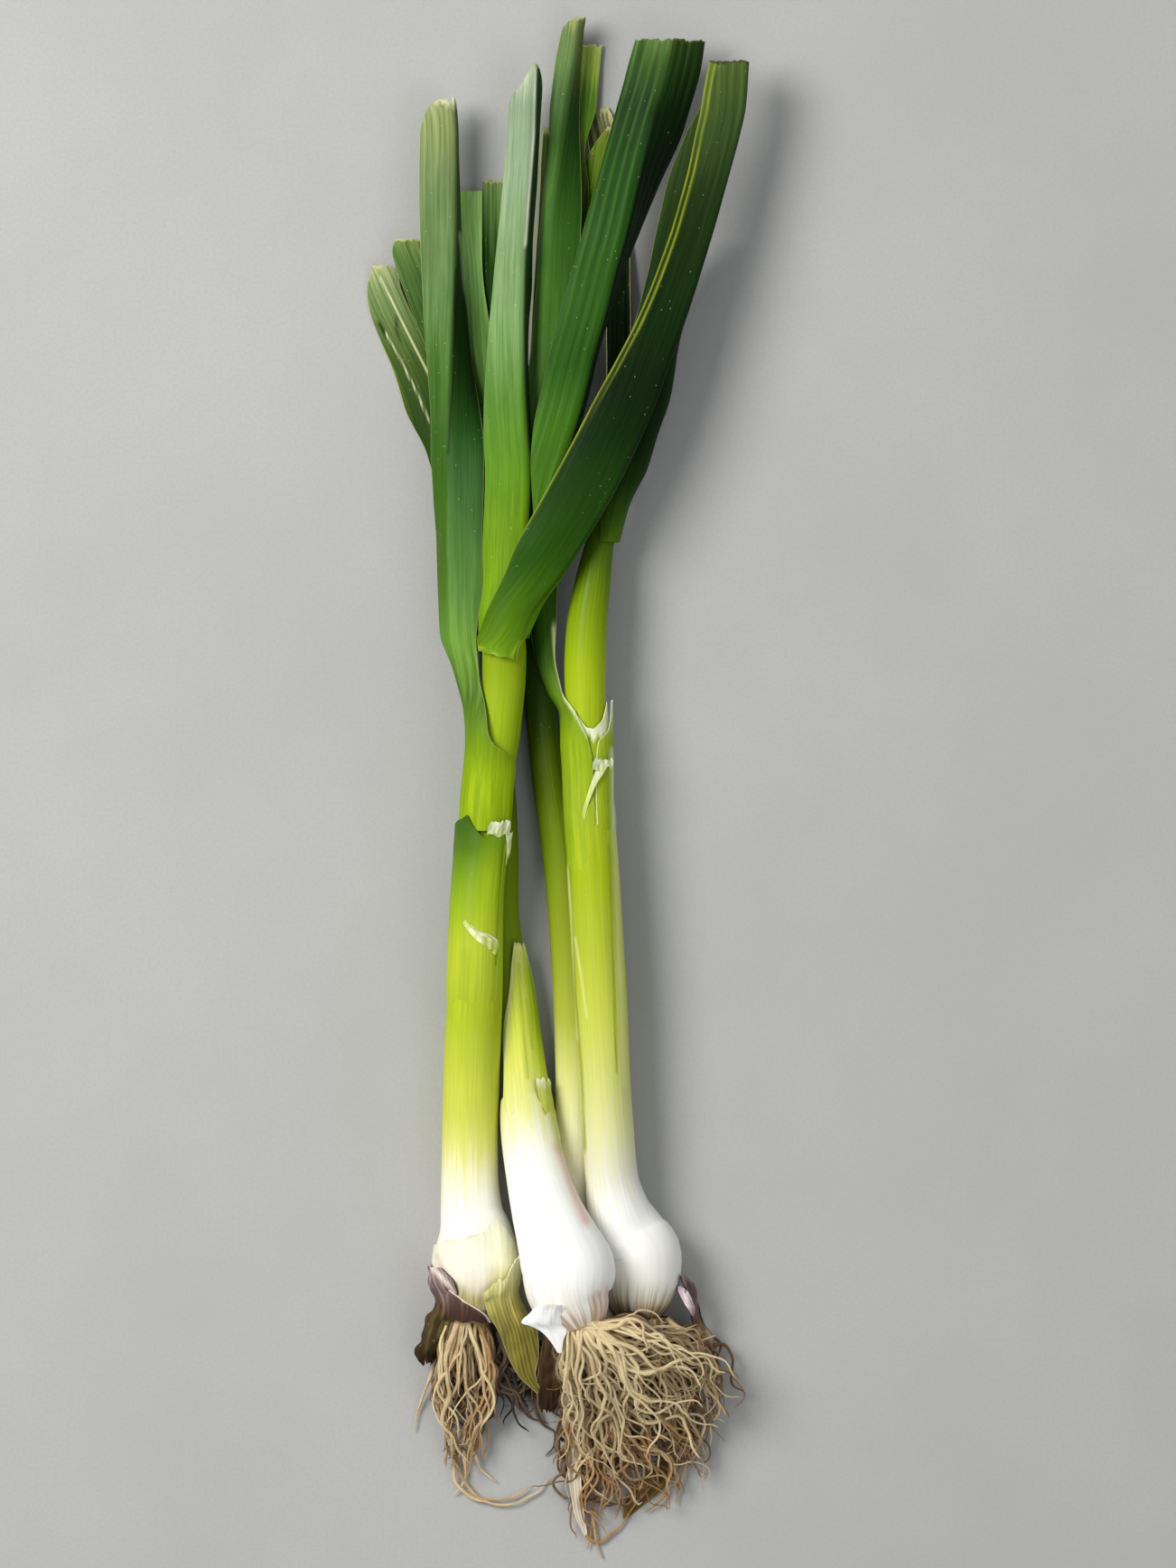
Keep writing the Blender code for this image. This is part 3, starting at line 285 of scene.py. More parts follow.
def blade_grid(rows, columns, step=FINE_STEP):
    """Points of a blade by row and column, how far across it each lies, and how far from its edge."""
    x, y, z, left, right, left_slope, right_slope, bend = resample(rows, step).T
    keel = (right_slope - left_slope) / 2.0
    near, near_out, near_rise = wing(left, left_slope, -keel, bend, columns)
    far, far_out, far_rise = wing(right, right_slope, keel, bend, columns)
    across = np.concatenate([-near[:, :0:-1], far], axis=1)
    out = np.concatenate([-near_out[:, :0:-1], far_out], axis=1)
    rise = np.concatenate([near_rise[:, :0:-1], far_rise], axis=1)
    edge = np.concatenate([left[:, None] - near[:, :0:-1], right[:, None] - far], axis=1)
    points = np.stack([x[:, None] + out, np.broadcast_to(y[:, None], out.shape), z[:, None] + rise], axis=2)
    return points, across, edge


def wrap_grid(stalk_rows, rows, columns):
    """Points of a skin lying round a stalk.

    Each row gives y, the angles of its left and right edge (180 left, 90 top, 0 right)
    and its distance from the stalk's centre line.
    """
    fine = resample([(y, 0.0, 0.0, left, right, radius) for y, left, right, radius in rows], WRAP_STEP)
    y, left, right, radius = (fine[:, [column]] for column in (0, 3, 4, 5))
    line = np.array(stalk_rows)
    share = np.linspace(0.0, 1.0, columns + 1)
    angle = np.radians(left + (right - left) * share)
    x = np.interp(y, line[:, 1], line[:, 0]) + radius * np.cos(angle)
    z = np.interp(y, line[:, 1], line[:, 2]) + radius * np.sin(angle)
    across = (math.pi / 2.0 - angle) * radius
    edge = np.abs(np.radians(left - right)) * radius * np.minimum(share, 1.0 - share)
    return np.stack([x, np.broadcast_to(y, x.shape), z], axis=2), across, edge


def draw_back(points, trims, reach):
    """Shortens each column at its last row by its trim, for a torn or cut end."""
    drawn = points.copy()
    for k, trim in enumerate(trims):
        stops = run_along(points[:, k])
        at = stops - trim * smooth((stops - (stops[-1] - reach)) / reach)
        for axis in range(3):
            drawn[:, k, axis] = np.interp(at, stops, points[:, k, axis])
    return drawn


def torn_back(points, seed, torn, outline):
    """Tears the end at the last row into notches, and draws it back by the outline over its width."""
    depth, teeth, reach = torn
    columns = points.shape[1]
    place = np.linspace(0.0, teeth, columns)
    notches = 0.5 + BROAD_NOTCH * ripple(seed, place) + FINE_NOTCH * ripple(seed + 1, place * NOTCH_RATIO)
    trims = depth * np.clip(notches, 0.0, 1.4)
    trims -= trims.min()
    if outline:
        trims += np.interp(np.linspace(0.0, 1.0, columns), *zip(*outline))
    return draw_back(points, trims, reach)


def normals_of(points):
    """Upward direction at each point of a sheet whose columns run left to right."""
    normal = np.cross(np.gradient(points, axis=1), np.gradient(points, axis=0))
    length = np.linalg.norm(normal, axis=2, keepdims=True)
    return normal / np.maximum(length, TINY)


def near_line(points, line, width):
    """1 on a line drawn over the piece as seen from above, and 0 from width away."""
    line = np.array(line, dtype=float)
    place = points[..., :2]
    nearest = np.full(place.shape[:-1], np.inf)
    for start, end in zip(line[:-1], line[1:]):
        run = end - start
        share = np.clip(((place - start) @ run) / (run @ run), 0.0, 1.0)
        away = np.linalg.norm(place - start - share[..., None] * run, axis=-1)
        nearest = np.minimum(nearest, away)
    return smooth(1.0 - nearest / width)


def add_paint(marks, points, paint, share=1.0):
    """Adds the marks of painted lines; each line gives its mark, its width and its points."""
    for mark in PAINTED:
        marks[mark] = np.zeros(points.shape[:-1])
    for mark, width, line in paint:
        marks[mark] = np.maximum(marks[mark], near_line(points, line, width) * share)


def make_mesh(name, vertices, faces, marks):
    """Mesh in metres with its marks, which the materials read."""
    mesh = bpy.data.meshes.new(name)
    mesh.from_pydata((vertices * MM).tolist(), [], faces)
    for mark, values in marks.items():
        kind, field = ("FLOAT_VECTOR", "vector") if values.ndim == 2 else ("FLOAT", "value")
        layer = mesh.attributes.new(mark, kind, "POINT")
        layer.data.foreach_set(field, values.astype(np.float32).ravel())
    mesh.validate()
    mesh.shade_smooth()
    mesh.set_sharp_from_angle(angle=SEAM_ANGLE)
    return mesh


def closed_sheet(name, top, bottom, marks):
    """Mesh of a thin sheet from the grids of its two faces, with a rim between them."""
    rows, columns = top.shape[:2]
    count = rows * columns
    index = np.arange(count).reshape(rows, columns)
    corners = (index[:-1, :-1], index[:-1, 1:], index[1:, 1:], index[1:, :-1])
    upper = np.stack(corners, axis=2).reshape(-1, 4)
    lower = upper[:, ::-1] + count
    loop = np.concatenate([index[0], index[1:, -1], index[-1, -2::-1], index[-2:0:-1, 0]])
    ahead = np.roll(loop, -1)
    rim = np.stack([loop + count, ahead + count, ahead, loop], axis=1)
    vertices = np.concatenate([top.reshape(-1, 3), bottom.reshape(-1, 3)])
    doubled = {}
    for mark, values in marks.items():
        flat = values.reshape(count, -1) if values.ndim == 3 else values.reshape(count)
        doubled[mark] = np.concatenate([flat, flat])
    return make_mesh(name, vertices, np.concatenate([upper, lower, rim]).tolist(), doubled)


def sheet_lift(seed, across, along, edge, ribs, waver, wrinkle, sink):
    """How far ribs, wavy edges, wrinkles and a sunken start move each point of a sheet."""
    lift = np.zeros(across.shape)
    if ribs:
        spacing, depth = ribs
        fade = smooth(edge / spacing)
        drift = RIB_DRIFT * ripple(seed + 11, along / DRIFT_ALONG, across / DRIFT_ACROSS)
        lift += depth * np.sin(math.tau * across / spacing + drift) * fade
        fine = np.sin(math.tau * across / (spacing * FINE_RIB_SPACING) + 2.0 * drift)
        lift += FINE_RIB_DEPTH * depth * fine * fade
    if waver:
        swing = waver * ripple(seed + 21, along / WAVER_LENGTH, np.sign(across) * 3.0)
        lift += swing * smooth(1.0 - edge / WAVER_REACH)
    if wrinkle:
        size, depth = wrinkle
        lift += depth * ripple(seed + 31, across / size, along / (size * WRINKLE_STRETCH))
        lift += FINE_WRINKLE * depth * ripple(seed + 41, across / (size * FINE_WRINKLE), along / size)
    if sink:
        reach, depth = sink
        lift -= depth * (1.0 - smooth(along / reach))
    return lift


def sheet_mesh(name, grid, thickness, *, ribs=(), waver=0.0, wrinkle=(), torn=(), torn_start=(), outline=(),
               outline_start=(), seed=1, paint=(), blend=1.6, lean=0.0, sink=(), extra=None):
    """A leaf or skin with ribs, wavy edges, wrinkles and torn ends, as a closed mesh.

    ribs is (spacing, depth), wrinkle (size, depth), torn and torn_start (depth, teeth, reach).
    outline gives pairs of a share of the width and how far the torn end is drawn back there, and
    outline_start the same for its start. sink gives how far from its first row a skin comes out of
    what it grows from, and how deep it starts. blend is the width over which the colours of one
    side turn to those of the other, lean to the right of the middle. extra adds to the marks.
    """
    points, across, edge = grid
    if torn:
        points = torn_back(points, seed, torn, outline)
    if torn_start:
        points = torn_back(points[::-1], seed + 5, torn_start, outline_start)[::-1]
    along = np.broadcast_to(run_along(points[:, points.shape[1] // 2])[:, None], across.shape)
    run = run_along(points)
    middle = across - lean
    marks = {"grain": np.stack([middle, np.zeros_like(across), along], axis=2), "level": points[..., 1],
             "edge": edge, "end": run[-1] - run, "side": smooth(middle / blend + 0.5)}
    add_paint(marks, points, paint)
    if extra:
        extra(across, edge, marks)
    normal = normals_of(points)
    points = points + normal * sheet_lift(seed, across, along, edge, ribs, waver, wrinkle, sink)[..., None]
    half = thickness / MM / 2.0 * (EDGE_SHARE + (1.0 - EDGE_SHARE) * smooth(edge / EDGE_REACH))
    top, bottom = points + normal * half[..., None], points - normal * half[..., None]
    top[..., 2] = np.maximum(top[..., 2], TABLE_GAP + LEAST_THICKNESS)
    bottom[..., 2] = np.maximum(bottom[..., 2], TABLE_GAP)
    return closed_sheet(name, top, bottom, marks)


def tube_frames(path):
    """Directions across a path, carried along it without twist."""
    ahead = np.gradient(path, axis=0)
    ahead /= np.maximum(np.linalg.norm(ahead, axis=1, keepdims=True), TINY)
    side = np.cross(ahead[0], (0.0, 0.0, 1.0))
    sides = []
    for way in ahead:
        side = side - way * (side @ way)
        side = side / np.linalg.norm(side)
        sides.append(side)
    sides = np.array(sides)
    return sides, np.cross(sides, ahead)


def tube_parts(path, radii, sides):
    """Rings of a closed tube with a point at each end, its faces, and the angles round it."""
    over, up = tube_frames(path)
    angle = np.linspace(0.0, math.tau, sides, endpoint=False)
    outward = np.cos(angle)[None, :, None] * over[:, None] + np.sin(angle)[None, :, None] * up[:, None]
    rings = path[:, None] + radii[:, None, None] * outward
    count = len(path)
    index = np.arange(count * sides).reshape(count, sides)
    ahead = np.roll(index, -1, axis=1)
    walls = np.stack([index[:-1], ahead[:-1], ahead[1:], index[1:]], axis=2).reshape(-1, 4).tolist()
    first, last = count * sides, count * sides + 1
    caps = [[first, b, a] for a, b in zip(index[0].tolist(), ahead[0].tolist())]
    caps += [[last, a, b] for a, b in zip(index[-1].tolist(), ahead[-1].tolist())]
    vertices = np.concatenate([rings.reshape(-1, 3), path[:1], path[-1:]])
    return vertices, walls + caps, angle


def stalk_mesh(name, rows, seed, paint):
    """Bulb and stem in one, finely ribbed, with a small flat where it lies on the table."""
    sides = sizes().stalk_sides
    fine = resample(rows, STALK_STEP)
    path, radii = fine[:, :3], fine[:, 3]
    rings, faces, angle = tube_parts(path, radii, sides)
    count = len(path)
    body = rings[:count * sides].reshape(count, sides, 3)
    outward = body - path[:, None]
    outward /= np.linalg.norm(outward, axis=2, keepdims=True)
    turn = np.broadcast_to(angle, (count, sides))
    level = np.broadcast_to(path[:, 1:2], (count, sides))
    lift = np.zeros((count, sides))
    draw = random.Random(seed)
    near_base = smooth(1.0 - (level - path[0, 1]) / BASE_REACH)
    for waves, depth in STALK_WAVES:
        start = draw.uniform(0.0, math.tau)
        sway = 0.5 * ripple(seed + waves, level / SWAY_LENGTH)
        deeper = 1.0 + BASE_RIBS / depth * near_base * (waves > FINE_WAVES)
        lift += depth * np.sin(waves * turn + start + sway) * deeper
    lift *= smooth(radii / FULL_RADIUS)[:, None]
    body = body + outward * lift[..., None]
    body[..., 2] = np.maximum(body[..., 2], 0.0)
    rings[:count * sides] = body.reshape(-1, 3)
    grain = np.stack([np.cos(turn) * GRAIN_RADIUS, np.sin(turn) * GRAIN_RADIUS, level], axis=2)
    grain = grain.reshape(-1, 3)
    grain = np.concatenate([grain, [[0.0, 0.0, path[0, 1]], [0.0, 0.0, path[-1, 1]]]])
    far = np.full(len(grain), FAR_OFF)
    side = smooth(np.concatenate([np.cos(turn).ravel(), [0, 0]]) * 0.7 + 0.5)
    marks = {"grain": grain, "level": grain[:, 2].copy(), "edge": far, "end": far, "side": side}
    middle = np.concatenate([np.repeat(path[:, 2], sides), path[[0, -1], 2]])
    add_paint(marks, rings, paint, rings[:, 2] > middle - PAINT_DROP)
    return make_mesh(name, rings, faces, marks)


# Materials: how deep the fine relief is, and how much paler the bands between veins are.
RELIEF_DEPTH = 0.0002
BAND_LIGHT = (1.7, 1.55, 1.4)
LEAST_PAINT = 0.55
PATCH_SIZE = 12.0
SPECK_SIZE = 0.95
SPECK_STRENGTH = 0.28
SPECK_COLOUR = (236, 238, 206)
# How much smoother and rougher than its own roughness a tissue is in places.
SMOOTHER, ROUGHER = 0.07, 0.12
# How far light of each colour runs in moist tissue, and the length of one, in metres.
WAX_RADIUS, WAX_SCALE = (1.0, 0.9, 0.5), 0.002


def add(tree, kind, inputs=None, **settings):
    """A shader node with its settings; a socket given as an input is linked to it."""
    node = tree.nodes.new(kind)
    for key, value in settings.items():
        setattr(node, key, value)
    for key, value in (inputs or {}).items():
        if isinstance(value, bpy.types.NodeSocket):
            tree.links.new(value, node.inputs[key])
        else:
            node.inputs[key].default_value = value
    return node


def sums(tree, operation, first, second=0.0):
    """One sum of two values."""
    return add(tree, "ShaderNodeMath", {0: first, 1: second}, operation=operation).outputs[0]


def times(tree, first, second):
    """Two values multiplied."""
    return sums(tree, "MULTIPLY", first, second)


def span(tree, value, low, high, start=0.0, end=1.0):
    """value from low to high turned to start to end, with soft ends."""
    return add(tree, "ShaderNodeMapRange", {0: value, 1: low, 2: high, 3: start, 4: end},
               interpolation_type="SMOOTHSTEP").outputs[0]


def blend(tree, mask, first, second, kind="MIX"):
    """Colour first, turned to colour second where mask is 1."""
    values = {0: mask}
    for socket, value in ((6, first), (7, second)):
        values[socket] = value if isinstance(value, bpy.types.NodeSocket) else (*value, 1.0)
    return add(tree, "ShaderNodeMix", values, data_type="RGBA", blend_type=kind).outputs[2]


def mark(tree, name):
    """The output of one of a mesh's marks."""
    node = add(tree, "ShaderNodeAttribute", attribute_name=name)
    return node.outputs["Vector" if name == "grain" else "Fac"]


def noise(tree, place, detail, roughness=0.5, scale=1.0):
    """Soft random value that changes over place."""
    inputs = {"Vector": place, "Scale": scale, "Detail": detail, "Roughness": roughness}
    return add(tree, "ShaderNodeTexNoise", inputs).outputs[0]


def scaled(tree, grain, across, along, shift):
    """Grain coordinates divided by a size across and a size along, moved by shift."""
    parts = add(tree, "ShaderNodeSeparateXYZ", {0: grain}).outputs
    x = sums(tree, "ADD", sums(tree, "DIVIDE", parts[0], across), shift)
    y = sums(tree, "DIVIDE", parts[1], across)
    z = sums(tree, "DIVIDE", parts[2], along)
    return add(tree, "ShaderNodeCombineXYZ", {0: x, 1: y, 2: z}).outputs[0]


def fill_streaks(tree, given, out):
    """Fine lines that run along the grain, as broad bands and as hair lines."""
    grain, spacing, length, shift = (given[label] for label in ("Grain", "Spacing", "Length", "Shift"))
    bands = noise(tree, scaled(tree, grain, spacing, length, shift), 2.0, 0.55)
    fine = scaled(tree, grain, times(tree, spacing, 0.36), times(tree, length, 0.3), shift)
    tree.links.new(span(tree, bands, 0.32, 0.68), out["Bands"])
    tree.links.new(span(tree, noise(tree, fine, 2.0, 0.6), 0.34, 0.66), out["Hairs"])


def fill_blotches(tree, given, out):
    """Soft uneven patches."""
    place = scaled(tree, given["Grain"], given["Size"], times(tree, given["Size"], 2.6), given["Shift"])
    tree.links.new(span(tree, noise(tree, place, 3.0, 0.55), 0.35, 0.68), out["Patches"])


def fill_specks(tree, given, out):
    """Scattered pin specks."""
    place = scaled(tree, given["Grain"], given["Size"], times(tree, given["Size"], 1.8), given["Shift"])
    cells = add(tree, "ShaderNodeTexVoronoi", {"Vector": place, "Scale": 1.0}).outputs
    pick = add(tree, "ShaderNodeSeparateXYZ", {0: cells["Color"]}).outputs[0]
    near = span(tree, cells["Distance"], 0.1, 0.22, 1.0, 0.0)
    chosen = sums(tree, "LESS_THAN", pick, given["Share"])
    tree.links.new(times(tree, near, chosen), out["Specks"])


def fill_edge(tree, given, out):
    """A thin uneven line along an edge."""
    uneven = noise(tree, scaled(tree, given["Grain"], 6.0, 9.0, given["Shift"]), 2.0)
    width = times(tree, given["Width"], sums(tree, "ADD", uneven, 0.5))
    share = sums(tree, "DIVIDE", given["Edge"], width)
    tree.links.new(span(tree, share, 0.45, 1.0, 1.0, 0.0), out["Line"])


def fill_frayed(tree, given, out):
    """Streaks that grow towards a cut or withered end."""
    uneven = noise(tree, scaled(tree, given["Grain"], 1.3, 30.0, given["Shift"]), 3.0)
    sway = times(tree, sums(tree, "SUBTRACT", uneven, 0.5), 1.7)
    far = sums(tree, "ADD", sums(tree, "DIVIDE", given["End"], given["Reach"]), sway)
    tree.links.new(span(tree, far, 0.15, 1.0, 1.0, 0.0), out["Fray"])


# Node groups: what fills them in, their inputs besides the grain, and their outputs.
GROUPS = {
    "Grain streaks": (fill_streaks, {"Spacing": 1.0, "Length": 60.0, "Shift": 0.0}, ("Bands", "Hairs")),
    "Soft blotches": (fill_blotches, {"Size": 10.0, "Shift": 0.0}, ("Patches",)),
    "Pin specks": (fill_specks, {"Size": 2.0, "Share": 0.2, "Shift": 0.0}, ("Specks",)),
    "Edge line": (fill_edge, {"Edge": 1.0, "Width": 0.6, "Shift": 0.0}, ("Line",)),
    "Frayed end": (fill_frayed, {"End": 1.0, "Reach": 5.0, "Shift": 0.0}, ("Fray",)),
}


def group(name):
    """The node group of a name, made when the first material asks for it."""
    if name in bpy.data.node_groups:
        return bpy.data.node_groups[name]
    fill, inputs, outputs = GROUPS[name]
    tree = bpy.data.node_groups.new(name, "ShaderNodeTree")
    tree.interface.new_socket("Grain", in_out="INPUT", socket_type="NodeSocketVector")
    for label, value in inputs.items():
        socket = tree.interface.new_socket(label, in_out="INPUT", socket_type="NodeSocketFloat")
        socket.default_value = value
    for label in outputs:
        tree.interface.new_socket(label, in_out="OUTPUT", socket_type="NodeSocketFloat")
    fill(tree, tree.nodes.new("NodeGroupInput").outputs, tree.nodes.new("NodeGroupOutput").inputs)
    return tree


def use(tree, name, grain, **inputs):
    """Places a node group with its values, and gives its output or its list of outputs."""
    values = {label.capitalize(): value for label, value in inputs.items()}
    node = add(tree, "ShaderNodeGroup", {"Grain": grain, **values}, node_tree=group(name))
    outputs = list(node.outputs)
    return outputs if len(outputs) > 1 else outputs[0]


def ramp(tree, place, stops, low, high):
    """Colours that follow place, which is 0 at low and 1 at high."""
    node = add(tree, "ShaderNodeValToRGB", {0: place})
    bar = node.color_ramp.elements
    for k, (level, *colour) in enumerate(stops):
        spot = min(1.0, max(0.0, (level - low) / (high - low)))
        element = bar[k] if k < len(bar) else bar.new(spot)
        element.position = spot
        element.color = (*tint(*colour), 1.0)
    return node.outputs[0]


def new_material(name):
    """Material with nodes: its tree and its shader."""
    material = bpy.data.materials.new(name)
    material.use_nodes = True
    return material, material.node_tree, material.node_tree.nodes["Principled BSDF"]


def add_relief(tree, shader, strength, height):
    """Fine relief on the surface of a material."""
    bump = add(tree, "ShaderNodeBump", {"Strength": strength, "Distance": RELIEF_DEPTH, "Height": height})
    tree.links.new(bump.outputs[0], shader.inputs["Normal"])


def tissue(name, left, right=None, *, shift=0.0, spacing=1.5, length=60.0, veins=0.3, hairs=0.5, sway=8.0,
           patches=0.18, patch_colour=None, margin=0.0, margin_colour=None, dry=0.0, dry_colour=None,
           specks=0.05, pale_colour=(226, 228, 180), dark_colour=(16, 26, 10), stain_colour=None,
           vein_colour=None, vein_shade=(0.42, 0.56, 0.36), vein_fade=(), rough=0.5, bump=0.3, gloss=0.07,
           waxy=0.0):
    """Leaf, sheath or skin. left and right give its colours by level, for each side of the keel.

    Veins take vein_colour, or else the colour round them darkened by vein_shade; vein_fade gives the
    levels between which they come in. A colour that isn't given is the user's own.
    """
    material, tree, shader = new_material(name)
    grain, level = mark(tree, "grain"), mark(tree, "level")

    def own(colour, usual):
        return tint(*colour) if colour else tuple(usual)

    bands, lines = use(tree, "Grain streaks", grain, spacing=spacing, length=length, shift=shift)
    spots = use(tree, "Soft blotches", grain, size=PATCH_SIZE, shift=shift)
    wander = times(tree, sums(tree, "SUBTRACT", bands, 0.5), sway)
    low, high = left[0][0], left[-1][0]
    place = sums(tree, "SUBTRACT", sums(tree, "ADD", level, wander), low)
    place = sums(tree, "DIVIDE", place, high - low)
    colour = ramp(tree, place, left, low, high)
    # For several pieces the right ramp is in part painted shade on a half turned away from the light, and on
    # a_leaf_left in part painted sheen.
    if right:
        colour = blend(tree, mark(tree, "side"), colour, ramp(tree, place, right, low, high))
    colour = blend(tree, times(tree, spots, patches), colour, own(patch_colour, colours().vein_green))
    dark = tint(*vein_colour) if vein_colour else blend(tree, 1.0, colour, vein_shade, "MULTIPLY")
    if vein_fade:
        shown = span(tree, level, *vein_fade)
        hairs, veins = times(tree, shown, hairs), times(tree, shown, veins)
    light = blend(tree, 1.0, colour, BAND_LIGHT, "MULTIPLY")
    colour = blend(tree, times(tree, lines, hairs), colour, dark)
    colour = blend(tree, times(tree, bands, veins), colour, light)
    colour = blend(tree, times(tree, sums(tree, "SUBTRACT", 1.0, bands), veins), colour, dark)
    for label, paint in (("stain", own(stain_colour, colours().blush)), ("dark", tint(*dark_colour)),
                         ("pale", tint(*pale_colour))):
        strength = times(tree, mark(tree, label), span(tree, lines, 0.0, 1.0, LEAST_PAINT, 1.0))
        colour = blend(tree, strength, colour, paint)
    if margin:
        line = use(tree, "Edge line", grain, edge=mark(tree, "edge"), width=margin, shift=shift)
        colour = blend(tree, line, colour, own(margin_colour, colours().margin_pale))
    if dry:
        fray = use(tree, "Frayed end", grain, end=mark(tree, "end"), reach=dry, shift=shift)
        colour = blend(tree, fray, colour, own(dry_colour, colours().dry_tip))
    if specks:
        pins = use(tree, "Pin specks", grain, size=SPECK_SIZE, share=specks, shift=shift)
        colour = blend(tree, times(tree, pins, SPECK_STRENGTH), colour, tint(*SPECK_COLOUR))
    tree.links.new(colour, shader.inputs["Base Color"])
    roughness = span(tree, sums(tree, "ADD", bands, spots), 0.0, 2.0, rough - SMOOTHER, rough + ROUGHER)
    tree.links.new(roughness, shader.inputs["Roughness"])
    add_relief(tree, shader, bump, sums(tree, "ADD", times(tree, bands, 0.7), times(tree, lines, 0.35)))
    shader.inputs["Specular IOR Level"].default_value = gloss
    if waxy:
        shader.inputs["Subsurface Weight"].default_value = waxy
        shader.inputs["Subsurface Radius"].default_value = WAX_RADIUS
        shader.inputs["Subsurface Scale"].default_value = WAX_SCALE
    return material


def root_finish(name, pale, deep, dark):
    """Dry roots: each has a tone, and painted shade darkens those deep in the tuft."""
    material, tree, shader = new_material(name)
    grain = mark(tree, "grain")
    bands, lines = use(tree, "Grain streaks", grain, spacing=0.5, length=5.0, shift=3.0)
    spots = use(tree, "Soft blotches", grain, size=2.4, shift=9.0)
    tone = span(tree, sums(tree, "ADD", mark(tree, "tone"), times(tree, spots, 0.25)), 0.0, 1.0)
    colour = blend(tree, tone, deep, pale)
    colour = blend(tree, times(tree, lines, 0.15), colour, deep)
    # The deep mark is painted shade among the roots.
    colour = blend(tree, mark(tree, "deep"), colour, dark)
    tree.links.new(colour, shader.inputs["Base Color"])
    tree.links.new(span(tree, bands, 0.0, 1.0, 0.5, 0.78), shader.inputs["Roughness"])
    add_relief(tree, shader, 0.6, sums(tree, "ADD", bands, lines))
    return material


def place_piece(name, mesh, material, slot, *nodes):
    """Puts a piece in the scene, riding on the bunch and standing for its CAD nodes."""
    piece = bpy.data.objects.new(name, mesh)
    bpy.context.scene.collection.objects.link(piece)
    mesh.materials.append(material)
    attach(piece, "root")
    if nodes:
        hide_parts(*nodes)
    return piece


# Folded margin of the front leaf: how far its line lies from the edge, and the line's width.
FOLD_PLACE, FOLD_WIDTH = 2.2, 0.38
# Width of one furrow and ridge of the ribbed leaf.
FURROW_SPACING = 3.6


def second_margin(across, edge, marks):
    """A pale line close inside the left edge of the front leaf, where its margin is folded."""
    level = marks["level"]
    line = np.exp(-((edge - FOLD_PLACE) / FOLD_WIDTH) ** 2) * (across < 0) * smooth((level - 120.0) / 50.0)
    rim = smooth(1.0 - edge / 0.9) * (across < 0) * smooth((level - 60.0) / 60.0)
    marks["pale"] = np.maximum(marks["pale"], np.maximum(0.8 * line, rim))


def painted_rib_shading(across, edge, marks):
    """Painted shade in the furrows and a painted highlight on the ridges of the ribbed leaf; the highlight is
    only left of its keel.
    """
    wave = np.sin(math.tau * across / FURROW_SPACING + 0.6 * ripple(71, marks["level"] / SWAY_LENGTH))
    fade = 0.35 + 0.65 * smooth((marks["level"] - 150.0) / 60.0)
    marks["dark"] = np.maximum(marks["dark"], 0.5 * fade * smooth(-wave * 0.8))
    marks["pale"] = np.maximum(marks["pale"], 0.35 * fade * smooth(wave * 0.8) * (across < 0))
